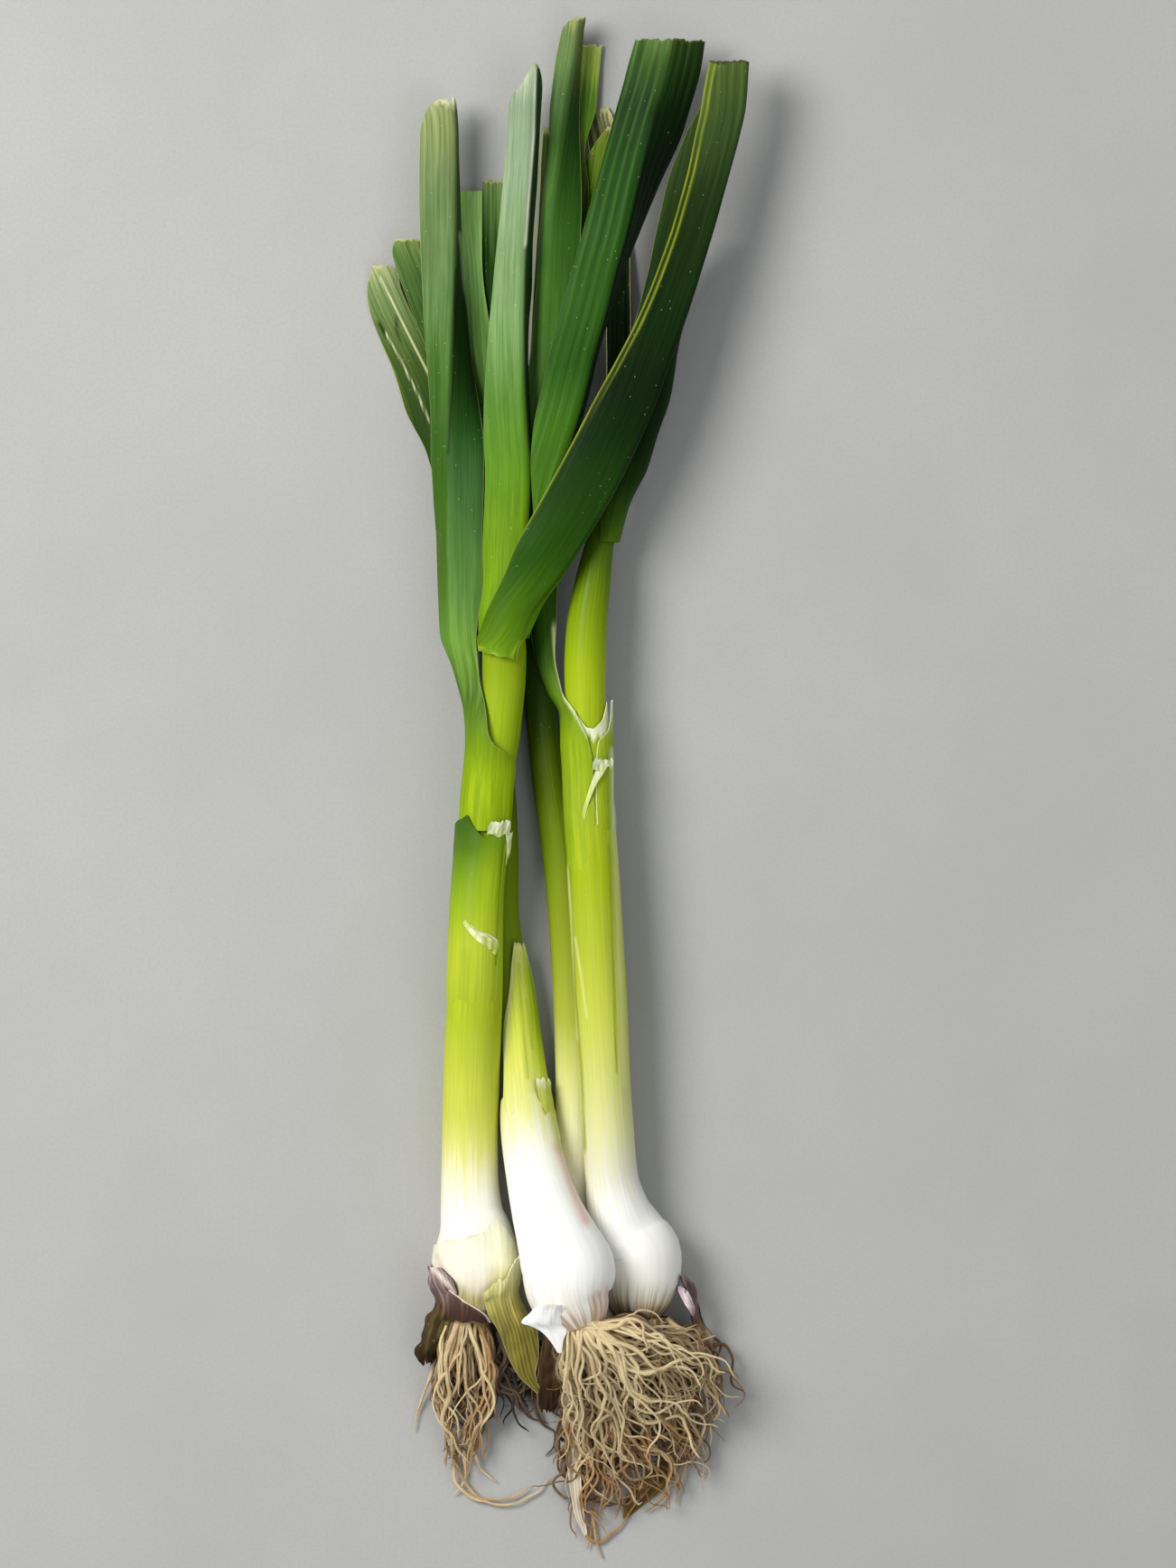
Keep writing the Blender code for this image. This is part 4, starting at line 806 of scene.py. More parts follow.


# Leaves: their rows, the mesh made from them, and the colours by level (red, green, blue) for
# each side of the keel. A row gives the keel's x, y, z; the width left and right of it; the slope
# of each half in degrees, up from level going outward; and its bend outward in degrees a millimetre.
# The right-side colours of several leaves are in part painted shade and painted sheen, as noted with each
# leaf.
LEAVES_A = {"a_leaf_left": dict(
    slot="leaf_green", columns=26,
    rows=(clasp(-26, -14.6, 20.3, 9.4, 180, 24.5, 26), clasp(-25.1, -2, 20.5, 9.5, 180, 24, 26),
          clasp(-23.8, 7.7, 20.8, 9.8, 180, 20, 25.5), (-32.9, 17.3, 21, 15, 15, -90, 90, -5.4),
          (-33.3, 26.9, 21.5, 12, 12, -88, 78, -5), (-35.5, 39.7, 22.5, 11, 8, -78, 30, -3),
          (-38.6, 55.7, 23, 9.5, 9.6, -70, 2, -0.5), (-39, 71.7, 23, 9, 12, -68, -5, -0.3),
          (-39.4, 87.7, 22.5, 9.5, 12.3, -68, -7, -0.2), (-39.4, 113.3, 21.5, 10, 13, -58, -9, -0.2),
          (-39, 135.7, 20.5, 10.5, 13, -52, -35, -0.2), (-38.4, 158.1, 19.5, 11, 13, -38, -62, -0.2),
          (-37.3, 183.7, 18, 12, 11.5, -18, -77, -0.2), (-36.9, 209.3, 17, 13, 10.8, -8, -86, -0.2),
          (-37, 231.7, 16.2, 12.6, 9.5, -5, -88, -0.2), (-37.6, 241.9, 16, 9, 7.5, -4, -88, -0.2),
          (-38.4, 245.4, 15.8, 3.2, 3.6, -4, -80, -0.2)),
    ribs=(1.4, 0.02), waver=0.25, torn=(2.6, 6, 12), seed=11, blend=2.6,
    paint=(("pale", 0.9, ((-35.5, 197), (-34, 178), (-31.5, 163), (-28.4, 143), (-26.9, 128))),
           ("pale", 0.9, ((-24.6, 21.6), (-20.8, 15.6), (-15.5, 11))),
           # Painted shade: a dark line along the keel, where the lit left face turns to the unlit right face.
           ("dark", 0.7, ((-36.9, 184), (-37.6, 146), (-39.2, 119)))),
    left=((-30, 140, 170, 20), (3, 156, 184, 20), (14, 124, 158, 12), (30, 66, 98, 14), (49, 104, 148, 50),
          (81, 72, 110, 26), (106, 62, 104, 20), (129, 58, 96, 30), (151, 78, 114, 48), (174, 102, 135, 78),
          (204, 110, 136, 84), (219, 120, 140, 92), (234, 144, 156, 98), (244, 164, 172, 124)),
    # The right half's colours are painted sheen from level 49 to 106, and painted shade from level 129 up
    # where that half is turned away from the light.
    right=((-30, 150, 176, 20), (3, 158, 184, 20), (14, 128, 160, 16), (30, 88, 120, 40), (49, 124, 164, 66),
           (68, 104, 146, 70), (88, 86, 128, 62), (106, 70, 110, 56), (129, 42, 82, 28), (151, 34, 70, 20),
           (174, 22, 50, 12), (219, 60, 86, 36), (244, 110, 120, 66)),
    margin=0.16, margin_colour=(150, 172, 96), dry=3.5, veins=0.26, dry_colour=(206, 206, 160),
    pale_colour=(184, 202, 160),
), "a_leaf_centre": dict(
    slot="leaf_green", columns=24,
    rows=(clasp(-19.5, 53.5, 22, 8.6, 50, 18.5, 5), (-12.2, 71.7, 28.3, 15.5, 5, 8, -55, -2.6),
          (-11.5, 87.7, 27.5, 16, 5, 2, -75, -1.6), (-10.6, 113.3, 26, 16, 6, -2, -80, -1),
          (-11.5, 126.1, 25.2, 15.5, 6.5, -3, -82, -0.8), (-12.6, 145.3, 24, 14, 8, -4, -82, -0.8),
          (-12.8, 164.5, 22.8, 12.2, 9, -5, -77, -0.8), (-12.5, 180.5, 21.7, 11, 9, -6, -74, -0.8),
          (-11.2, 206.1, 20, 9.8, 8.5, -8, -74, -0.8), (-9.4, 231.7, 18.5, 9.3, 8, -8, -74, -0.8),
          (-9, 242.9, 18, 9, 8, -8, -74, -0.8), (-8.6, 250.9, 17.6, 4.4, 6, -8, -72, -0.8),
          (-8.6, 257.3, 17.4, 0.6, 0.8, -8, -70, 0)),
    ribs=(1.4, 0.02), waver=0.2, torn=(1, 7, 10), seed=12,
    # The pale line along the keel is the pale keel with a painted highlight on it.
    paint=(("pale", 0.8, ((-8.6, 257), (-9.2, 232), (-11.2, 206), (-12.2, 192))),),
    left=((53, 122, 162, 18), (72, 122, 162, 18), (86, 112, 150, 14), (106, 102, 146, 24),
          (136, 92, 136, 46), (166, 124, 158, 98), (197, 138, 166, 118), (219, 155, 176, 144),
          (243, 148, 167, 140), (257, 196, 204, 178)),
    # The dark right colours are painted shade of the half folded steeply away from the light.
    right=((53, 70, 112, 16), (100, 44, 84, 18), (140, 30, 62, 16), (257, 44, 74, 34)),
    margin=0.1, margin_colour=(120, 150, 80), dry=1.5, veins=0.2, patches=0.1, pale_colour=(226, 232, 206),
), "a_leaf_ribbed": dict(
    slot="leaf_green", columns=34,
    rows=(clasp(-19.5, 53.5, 22, 8.6, -28, 5, 6), (-6.9, 71.7, 19.5, 4.5, 3, 80, -95, -4),
          (-4, 87.7, 25.5, 5, 8, 15, -80, -1), (-2.5, 100.5, 28, 7, 9, -2, -85, -0.8),
          (2.9, 119.7, 28.5, 13, 9, -1, -85, -0.5), (7.7, 135.7, 28.3, 15.5, 11, -2, -85, -0.4),
          (11.5, 151.7, 28, 15.5, 13, -2, -85, -0.4), (16.3, 169.3, 27.5, 16, 14, -2, -83, -0.4),
          (19.8, 183.7, 27, 15.2, 14.5, -3, -78, -0.4), (23.4, 196.5, 26.5, 15.5, 14.5, -6, -71, -0.4),
          (27.8, 215.7, 26, 15, 14.5, -16, -56, -0.4), (33, 236.5, 25.2, 15, 14.5, -20, -33, -0.4),
          (37.4, 252.5, 24.6, 15, 14.5, -20, -33, -0.4), (40.3, 265.9, 24, 14.5, 14.5, -24, -37, -0.4)),
    ribs=(3.6, 0.1), waver=0.2, torn=(1, 16, 6), seed=13, extra=painted_rib_shading,
    left=((53, 90, 130, 20), (106, 76, 120, 20), (129, 64, 110, 20), (151, 42, 84, 18), (174, 48, 92, 24),
          (197, 44, 82, 22), (219, 36, 72, 18), (242, 18, 46, 8), (258, 56, 86, 32), (267, 92, 118, 60)),
    # The near-black right colours are painted shade of the half turned away from the light.
    right=((53, 70, 108, 18), (110, 40, 78, 18), (150, 12, 34, 6), (215, 6, 26, 4), (240, 9, 30, 5),
           (257, 40, 66, 20), (267, 62, 84, 34)),
    # dark_colour and pale_colour here are the painted shade in the furrows and the painted highlight on the
    # ridges.
    margin=0.08, margin_colour=(90, 120, 60), dry=0.8, dry_colour=(96, 110, 64), veins=0.3, hairs=0.3,
    dark_colour=(18, 52, 14), pale_colour=(84, 132, 56),
), "a_leaf_front": dict(
    slot="leaf_dark_green", columns=36,
    rows=(clasp(-19.6, 44.9, 21.7, 10.5, 66, 15, 1), clasp(-19.5, 48.6, 21.8, 10.5, 66, 15, 1),
          clasp(-19, 55.7, 22.3, 10.6, 45, 19, 1.8), (-9, 62.1, 29.4, 18.6, 4, 41, -62, -4.4),
          (0.6, 74.9, 29.5, 21.5, 8, 30, -105, -2.6), (9, 87.7, 31, 24.5, 11, 18, -130, -1.4),
          (18.9, 104.3, 32, 25, 14, 12, -150, -0.9), (26.6, 119.7, 32, 24.3, 16, 10, -157, -0.8),
          (33, 134.1, 31.6, 23.2, 17, 9, -162, -0.7), (39.4, 151.7, 31, 20, 18.5, 8, -166, -0.6),
          (45.1, 167.7, 30.3, 17.7, 18.7, 10, -168, -0.6), (50.2, 183.7, 29.5, 16.6, 19.5, 15, -171, -0.6),
          (55, 199.7, 28.6, 16.3, 21, 20, -172, -0.6), (59.4, 215.7, 27.6, 16.2, 21.6, 20, -173, -0.6),
          (63.7, 231.7, 26.6, 17, 19.8, 18, -173, -0.6), (65.8, 241.9, 26, 16.8, 16.5, 15, -173, -0.6),
          (66.9, 257.9, 25, 14.8, 13, 12, -172, -0.6)),
    ribs=(1.4, 0.02), waver=0.25, torn=(1, 12, 6), torn_start=(0.8, 5, 9), seed=14, extra=second_margin,
    outline_start=((0, 3.6), (0.2, 2.6), (0.5, 0.3), (0.8, 0), (0.92, 1.6), (1, 5)),
    paint=(("pale", 0.7, ((-28.2, 50.6), (-22.1, 47.2), (-17, 47.2), (-14.1, 52))),),
    left=((45, 120, 160, 24), (59, 84, 126, 10), (79, 44, 84, 6), (106, 28, 62, 5), (125, 12, 38, 3),
          (144, 9, 30, 3), (166, 16, 38, 5), (189, 29, 50, 13), (212, 38, 58, 22), (234, 62, 84, 42),
          (254, 84, 106, 50), (260, 92, 110, 56)),
    right=((45, 120, 160, 24), (70, 98, 142, 16), (106, 52, 90, 10), (140, 20, 46, 6), (190, 32, 54, 14),
           (234, 60, 80, 38), (260, 100, 110, 64)),
    margin=0.14, margin_colour=(130, 150, 50), dry=1.2, dry_colour=(72, 70, 42), veins=0.24, patches=0.22,
    pale_colour=(168, 180, 50),
)}
LEAVES_B = {"b_leaf_outer": dict(
    slot="leaf_yellow_green", columns=20,
    rows=(clasp(-24.6, 49.3, 5, 5.7, 180, 4.5, 7), (-33.5, 74.9, 5.2, 6, 3.5, -35, 20, -1),
          (-35.2, 100.5, 6, 8, 6, -25, 5, -0.3), (-38.1, 119.7, 6.4, 9.8, 7, -22, -5, 0),
          (-41.9, 135.7, 6.3, 14, 7, -24, -3, 0), (-47, 148.5, 5.8, 12.8, 6.5, -24, -3, 0),
          (-52.5, 159.7, 5.3, 12, 5.5, -22, -2, 0), (-57.3, 169.3, 5.2, 10.8, 4.8, -24, 0, 0),
          (-61.1, 177.9, 4.6, 8, 4.8, -28, 0, 0), (-63.4, 183.7, 4.4, 4.2, 6, -35, 0, 0),
          (-65, 186.9, 4.2, 1, 2.5, -35, 0, 0)),
    ribs=(1.5, 0.07), waver=0.3, torn=(1, 4, 8), seed=21,
    paint=(("pale", 0.55, ((-63.4, 182), (-57.3, 169.3), (-52.5, 159.7), (-46.5, 148))),
           ("pale", 0.4, ((-62, 163), (-57.3, 154.9), (-50.9, 142.1), (-46.1, 131))),
           ("dark", 1.2, ((-64.2, 166), (-62, 162))),
           ("dark", 0.9, ((-57.6, 168), (-57.9, 163), (-56.4, 160)))),
    left=((49, 40, 68, 14), (100, 42, 68, 18), (128, 46, 72, 20), (151, 70, 92, 34), (168, 106, 128, 72),
          (179, 126, 146, 96), (187, 166, 174, 122)),
    margin=0.16, margin_colour=(170, 180, 110), dry=1.6, veins=0.34, dry_colour=(188, 186, 134),
), "b_leaf_second": dict(
    slot="leaf_green", columns=16,
    rows=(clasp(-24.6, 50.9, 5, 5.4, 58, 2.5, 4), (-27.5, 74.9, 9.6, 5, 4, -15, -15, 0),
          (-30.4, 100.5, 10, 6, 4, -12, -8, 0), (-33.6, 119.7, 10.6, 6.5, 5, -14, -6, 0),
          (-36.8, 135.7, 10.6, 7, 6, -14, -5, 0), (-42.9, 158.1, 9.8, 5.2, 8, -18, -4, 0),
          (-47.7, 170.9, 9.2, 5.2, 8, -20, -4, 0), (-52.5, 183.7, 8.6, 5.2, 7, -22, -4, 0),
          (-55.7, 190.7, 8.4, 3.9, 7, -24, -4, 0), (-57, 194.6, 8.3, 1.6, 8, -24, -4, 0),
          (-57.2, 196, 8.3, 0.5, 7.5, -24, -4, 0)),
    ribs=(1.5, 0.06), waver=0.2, torn=(0.8, 4, 8), seed=22,
    left=((51, 40, 70, 14), (130, 42, 74, 20), (171, 60, 92, 36), (189, 94, 124, 62), (196, 122, 140, 80)),
    margin=0.14, margin_colour=(140, 160, 90), dry=1.2, veins=0.28,
), "b_leaf_flat": dict(
    slot="leaf_green", columns=12,
    rows=(clasp(-24.9, 58.9, 5, 5.3, -4, 2.2, 3), (-20.5, 81.3, 6.5, 4, 4, 50, -60, -1),
          (-22.4, 106.9, 7.6, 5, 5, 5, -15, 0), (-25, 126.1, 7.2, 5.3, 5.3, -4, -6, 0),
          (-28.2, 151.7, 5.8, 5.5, 5.5, -4, -6, 0), (-30.4, 183.7, 4.2, 5.5, 3.2, -3, -5, 0),
          (-31.7, 202.9, 3.4, 4.2, 4.3, -3, -5, 0), (-31.7, 213.1, 3, 4.2, 4.3, -3, -5, 0)),
    ribs=(1.4, 0.04), waver=0.15, torn=(0.4, 3, 6), seed=23,
    # The light colours from level 166 up are painted light, set brighter to offset the shadow that the left
    # leaf of plant a casts here.
    left=((59, 50, 80, 20), (125, 66, 102, 38), (166, 130, 178, 88), (189, 186, 236, 140),
          (213, 180, 230, 132)),
    margin=0.12, margin_colour=(110, 140, 80), dry=0.5, veins=0.18, patches=0.1,
), "b_leaf_inner": dict(
    slot="leaf_green", columns=12,
    rows=((-22.3, 84.5, 2, 2.4, 2.5, 0, 0, 0), (-23.4, 106.9, 2.6, 4, 4, 2, 4, 0),
          (-23.4, 151.7, 2.6, 4.2, 4.5, 4, 8, 0), (-23.2, 183.7, 2, 4.3, 4.5, 5, 8, 0),
          (-23.4, 202.9, 1.6, 4, 4.3, 6, 8, 0), (-23.4, 217.2, 1.4, 3.9, 4, 6, 8, 0)),
    ribs=(1.3, 0.05), waver=0.2, torn=(2.2, 3, 8), seed=24,
    left=((84, 20, 42, 10), (150, 34, 70, 16), (189, 40, 80, 18), (210, 104, 142, 74), (218, 130, 150, 92)),
    margin=0.12, margin_colour=(120, 146, 80), dry=1.2, veins=0.3,
)}
LEAVES_C = {"c_leaf_tall": dict(
    slot="leaf_green", columns=24,
    rows=(clasp(12.5, -36, 19.75, 8.1, 180, 17, 15.6), clasp(12.1, -28, 19.7, 8.7, 180, 17.4, 16.4),
          clasp(11.7, -20, 19.65, 9, 180, 17.5, 16.8), clasp(10.9, -9, 19.5, 8.95, 180, 17.5, 16.4),
          clasp(10.4, -3.5, 19.4, 8.7, 180, 17.5, 15.6), clasp(10.2, 7.7, 19.3, 8.9, 180, 17.5, 15.9),
          clasp(9.9, 17.3, 19.2, 9.2, 180, 13, 15), (0.7, 25.9, 18.8, 8, 10.5, -85, 80, -5),
          (-3.2, 34.9, 18, 4.5, 5.5, -75, 45, -3), (-6.6, 46.1, 17, 4, 5.5, -68, 10, -1.5),
          (-7.4, 58.9, 15.8, 3.5, 6.5, -50, -2, 0), (-8.3, 74.9, 15, 4, 8, -50, -5, 0),
          (-8.6, 87.7, 14.5, 5, 10, -50, -5, 0), (-9.9, 119.7, 14.5, 6, 12, -55, -5, 0),
          (-8.5, 135.7, 14.8, 7, 13, -62, -5, 0), (-7.2, 151.7, 15, 8, 13.5, -70, -5, 0),
          (-6.1, 169.3, 15, 8.5, 13.5, -78, -6, 0), (-5.4, 183.7, 14.8, 8.5, 12.8, -80, -7, 0),
          (-3.8, 206.1, 14.5, 8.5, 12, -80, -12, 0), (-0.8, 226.9, 14.2, 8.5, 9.6, -77, -36, 0),
          (2, 244.5, 14, 9.5, 8.2, -65, -58, 0), (4.9, 260.5, 13.6, 9.6, 7.8, -58, -74, 0),
          (6.2, 270.7, 13.3, 8.6, 6.5, -60, -76, 0), (6.8, 274.5, 13.2, 0.8, 4, -60, -60, 0)),
    ribs=(1.6, 0.03), waver=0.2, torn=(1.6, 5, 9), torn_start=(3, 8, 14), seed=31, blend=9,
    paint=(("pale", 1.5,
            ((-1.9, 58), (-1.2, 50), (-0.6, 43.6), (2.4, 32.4), (5.8, 27.4), (9.3, 21), (10.4, 19))),),
    # The dark colours from level 28 to 100 are painted shade under the leaves of plant a, and the lighter
    # colour at level 147 is painted light against the shadow of a_leaf_centre.
    left=((-36, 168, 188, 34), (-26, 150, 172, 18), (-12, 140, 164, 16), (4, 100, 128, 12),
          (16, 90, 122, 16), (28, 50, 84, 18), (45, 38, 70, 14), (100, 44, 80, 18), (147, 98, 142, 62),
          (166, 70, 115, 37), (189, 60, 102, 35), (212, 98, 142, 62), (228, 62, 100, 36),
          (250, 100, 132, 78), (269, 112, 134, 80), (275, 176, 178, 120)),
    # From level 212 up the right half's darker colours are painted shade beside the keel.
    right=((-36, 178, 198, 48), (-20, 166, 188, 34), (-8, 162, 182, 44), (4, 158, 180, 36),
           (16, 150, 178, 24), (28, 112, 142, 30), (45, 62, 100, 22), (100, 54, 92, 20), (147, 80, 122, 48),
           (190, 64, 106, 37), (212, 42, 80, 24), (242, 40, 68, 22), (275, 96, 108, 60)),
    margin=0.14, margin_colour=(170, 190, 120), dry=1.2, veins=0.26, vein_shade=(0.6, 0.7, 0.42),
    pale_colour=(226, 232, 170), dry_colour=(180, 182, 124),
), "c_leaf_under": dict(
    slot="leaf_dark_green", columns=18,
    rows=(clasp(14.7, 87.7, 16.3, 6.3, 12, 9, 7), clasp(18.6, 100.5, 14.8, 5.8, 20, 11, 7),
          (29.4, 113.3, 16.5, 13, 7, 15, -75, -2), (33.3, 126.1, 15.5, 14, 7, 0, -80, -0.5),
          (37.4, 138.9, 14.5, 14, 7, -3, -80, -0.2), (40.6, 158.1, 13.5, 13, 7, -4, -78, 0),
          (47.7, 183.7, 12.5, 10, 6, -4, -75, 0), (51.5, 198.1, 12, 4, 3, -4, -70, 0)),
    ribs=(1.7, 0.05), waver=0.2, torn=(1, 4, 8), seed=32,
    # Its near-black colours are painted shade: it lies under the front leaf of plant a.
    left=((87, 80, 116, 12), (105, 34, 66, 10), (125, 16, 42, 8), (198, 18, 46, 14)),
    margin=0.12, margin_colour=(70, 96, 40), dry=1.5, veins=0.3,
), "c_leaf_hollow": dict(
    slot="leaf_dark_green", columns=14,
    rows=((18.2, 105.3, 8.4, 4, 4, 0, 0, 0), (20.8, 126.1, 6.4, 5, 4, 10, 10, 0),
          (22.7, 151.7, 4.2, 6, 2.8, 12, 15, 0), (23, 169.3, 3, 6.5, 2.5, 14, 20, 0),
          (22.7, 186.9, 2, 7, 2.6, 16, 20, 0), (20.8, 202.9, 1, 7, 3, 18, 20, 0),
          (17.9, 222.1, 0.4, 7, 4, 20, 20, 0), (15.7, 234.9, 0.4, 6.7, 3.8, 22, 20, 0),
          (14.7, 239, 0.4, 3.2, 4.7, 22, 20, 0), (14.2, 243.2, 0.4, 0.8, 3, 22, 20, 0)),
    ribs=(1.6, 0.08), waver=0.3, torn=(2, 4, 9), seed=33,
    # Its near-black colours are painted shade: it lies low under the ribbed leaf of plant a, with a dry pale
    # tip.
    left=((105, 16, 34, 8), (200, 20, 38, 12), (228, 52, 66, 30), (238, 120, 122, 84), (244, 176, 170, 130)),
    margin=0.3, dry=3, veins=0.4,
)}
LEAVES_D = {"d_leaf_lime": dict(
    slot="leaf_yellow_green", columns=14,
    rows=(clasp(-8, 58.9, 5.3, 6.1, 30, 4.5, 4), (-4.2, 87.7, 9.4, 4.5, 4, 0, -40, -2),
          (-1.9, 119.7, 8.8, 5, 4.5, 5, -15, 0), (0.6, 151.7, 8, 5.2, 4.5, 5, -12, 0),
          (3.5, 183.7, 7.6, 5.4, 4.5, 4, -12, 0), (6.1, 209.3, 7.3, 5.2, 4.5, 2, -10, 0),
          (7.9, 228.5, 6.2, 5, 1.4, 0, -8, 0), (9.9, 242.9, 3.6, 5, 3.3, 0, -6, 0),
          (11.5, 260.5, 2.5, 5, 3.3, 0, -6, 0), (12.2, 265.3, 2.4, 3.5, 3.1, 0, -6, 0)),
    ribs=(1.5, 0.05), waver=0.15, torn=(1.6, 4, 8), seed=41,
    # The tip is pale yellow-green, and its colours from level 255 are set brighter still as painted light
    # against the shadow of c_leaf_tall.
    left=((59, 36, 66, 8), (150, 46, 80, 18), (212, 70, 102, 32), (246, 104, 146, 46), (255, 170, 196, 80),
          (266, 190, 206, 104)),
    margin=0.14, margin_colour=(150, 168, 80), dry=1.2, dry_colour=(200, 206, 124), veins=0.3,
), "d_leaf_yellow": dict(
    slot="leaf_yellow_green", columns=14,
    rows=((-1, 97.3, 4.4, 2, 3, 0, 0, 0), (1, 119.7, 4.6, 4.5, 4.5, 5, 0, 0),
          (5.1, 151.7, 4.4, 5, 5, 4, 0, 0), (8.6, 183.7, 4.6, 5.5, 5, 4, 0, 0),
          (10.6, 196.5, 5.2, 5.5, 5.2, 2, 4, 0), (13.1, 209.3, 5.2, 6, 6, -3, 2, 0),
          (15.4, 222.1, 5, 6.5, 5.5, -6, 0, 0), (16.6, 230.1, 4.8, 3.5, 3, -5, 0, 0),
          (17.9, 235.8, 4.8, 0.5, 0.6, 0, 0, 0)),
    ribs=(1.6, 0.05), waver=0.25, torn=(0.6, 4, 6), seed=42,
    # The colour at level 213 is set brighter as painted light against the shade it lies in.
    left=((97, 34, 48, 8), (180, 52, 74, 12), (213, 92, 122, 16), (226, 100, 126, 22), (236, 140, 150, 60)),
    margin=0.18, margin_colour=(170, 174, 84), dry=2, veins=0.35,
), "d_leaf_strip": dict(
    slot="leaf_green", columns=7,
    rows=((-9.3, 152.6, 2.2, 1, 1, 10, 8, 0), (-8.6, 158.1, 2, 1.8, 1.8, 10, 8, 0),
          (-7, 183.7, 2, 2, 2, 10, 8, 0), (-5.4, 202.9, 1.9, 2.2, 2.2, 10, 8, 0),
          (-4.5, 222.1, 1.8, 2.2, 2.2, 10, 8, 0), (-3.8, 236.3, 1.8, 2, 1.8, 10, 8, 0)),
    ribs=(1.1, 0.05), waver=0.15, torn=(1.4, 3, 8), seed=43,
    left=((152, 30, 56, 14), (236, 74, 96, 46)),
    margin=0.35, dry=3, veins=0.5,
)}


# The words of a leaf or skin that say where it goes, and those that give its shape. The others
# give its finish.
PLACE_WORDS = ("slot", "rows", "columns", "step", "stalk")
SHAPE_WORDS = ("ribs", "waver", "wrinkle", "torn", "torn_start", "outline", "outline_start", "seed", "paint",
               "blend", "lean", "sink", "extra")


def add_sheet(key, ending, piece, grid, thickness, nodes, **look):
    """Builds a leaf or skin with its finish, and puts it in the scene in place of its CAD nodes."""
    shape = {word: value for word, value in piece.items() if word in SHAPE_WORDS}
    look.update((word, value) for word, value in piece.items() if word not in PLACE_WORDS + SHAPE_WORDS)
    mesh = sheet_mesh(key + ending, grid, thickness, **shape)
    place_piece(key + ending, mesh, tissue(key + "_finish", **look), piece["slot"], *nodes)


def add_leaves(leaves):
    """Builds each leaf of one plant in place of its CAD node."""
    for k, (node, leaf) in enumerate(leaves.items()):
        grid = blade_grid(leaf["rows"], leaf["columns"])
        add_sheet(node, "_fine", leaf, grid, sizes().leaf_thickness, (node,), shift=7.0 * k + 3.0)


# Stalks: rows, marks drawn on them, and their colours by level. Veins come in up the stem, and
# are paler there than in a leaf.
SHEATH_SHADE = (0.72, 0.8, 0.5)
STEM_VEINS = (-152.0, -100.0)
STALKS = {"a_stalk": dict(
    seed=51, rows=STALK_A, paint=(("stain", 7, ((-40, -186), (-29, -190), (-18, -186))),),
    left=((-188, 130, 100, 70), (-183, 214, 200, 172), (-174, 244, 240, 226), (-150, 247, 245, 234),
          (-139, 241, 238, 202), (-127, 219, 219, 122), (-114, 200, 207, 84), (-98, 193, 203, 70),
          (-79, 174, 190, 40), (-56, 180, 197, 44), (-32, 150, 178, 12), (-12, 150, 178, 14),
          (10, 150, 176, 22), (27, 153, 177, 28), (45, 138, 160, 18), (88, 86, 124, 14)),
    stain_colour=(160, 128, 100),
), "b_stalk": dict(
    seed=52, rows=STALK_B,
    paint=(("stain", 3.4, ((-0.6, -126), (2.4, -134), (6.4, -145), (9.4, -152))),
           ("stain", 1.5, ((13.6, -177), (14.2, -186))), ("stain", 1.3, ((17, -175), (16.4, -185))),
           ("dark", 3, ((-4.4, -104), (-1.6, -116), (0.8, -127)))),
    left=((-189, 196, 170, 140), (-184, 240, 232, 218), (-172, 252, 252, 248), (-133, 251, 250, 242),
          (-120, 233, 232, 187), (-112, 222, 222, 144), (-98, 206, 211, 96), (-80, 160, 178, 40),
          (-60, 126, 148, 26), (-20, 110, 138, 18), (30, 70, 100, 12), (88, 30, 56, 8)),
    stain_colour=(234, 196, 182), dark_colour=(204, 206, 128),
), "c_stalk": dict(
    seed=53, rows=STALK_C,
    paint=(("stain", 8, ((14, -186), (28, -193), (42, -187))),
           ("pale", 0.8, ((2.9, -27.5), (4.2, -43.5), (5.1, -72.3), (6.4, -89))),
           ("pale", 0.7, ((5.8, -53), (9.9, -80.6))),
           ("dark", 0.9, ((3.9, -27.5), (5.6, -72.3), (8, -100), (9.2, -128))),
           ("pale", 2.4, ((19.4, -2), (20.4, -27.5), (21.4, -56.3), (22.4, -82), (23.2, -104.3))),
           ("dark", 0.7, ((17.6, -20), (18.8, -50), (19.8, -80), (20.4, -100)))),
    # From level 62 up the colours darken as painted shade where the stem runs under the front leaf of plant
    # a.
    left=((-189, 110, 82, 50), (-183, 206, 186, 148), (-176, 244, 240, 228), (-152, 248, 248, 244),
          (-139, 232, 230, 214), (-120, 222, 221, 164), (-98, 205, 209, 116), (-79, 194, 202, 78),
          (-56, 177, 188, 55), (-27, 158, 180, 20), (-8, 162, 182, 44), (10, 150, 176, 24),
          (30, 164, 186, 28), (43, 158, 180, 22), (62, 124, 150, 12), (80, 82, 112, 10), (117, 30, 60, 10)),
    stain_colour=(124, 92, 56), dark_colour=(132, 146, 36), pale_colour=(218, 224, 140),
), "d_stalk": dict(
    seed=54, rows=STALK_D, paint=(),
    # The dark colours from level 25 up are painted shade where the stem lies low under the other plants.
    left=((-213, 90, 66, 42), (-206, 170, 150, 118), (-196, 226, 220, 200), (-150, 236, 234, 214),
          (-125, 234, 232, 196), (-104, 217, 218, 143), (-82, 172, 180, 66), (-56, 146, 160, 36),
          (-18, 112, 135, 16), (4, 84, 105, 8), (25, 50, 76, 10), (60, 28, 60, 10), (100, 24, 56, 10)),
)}


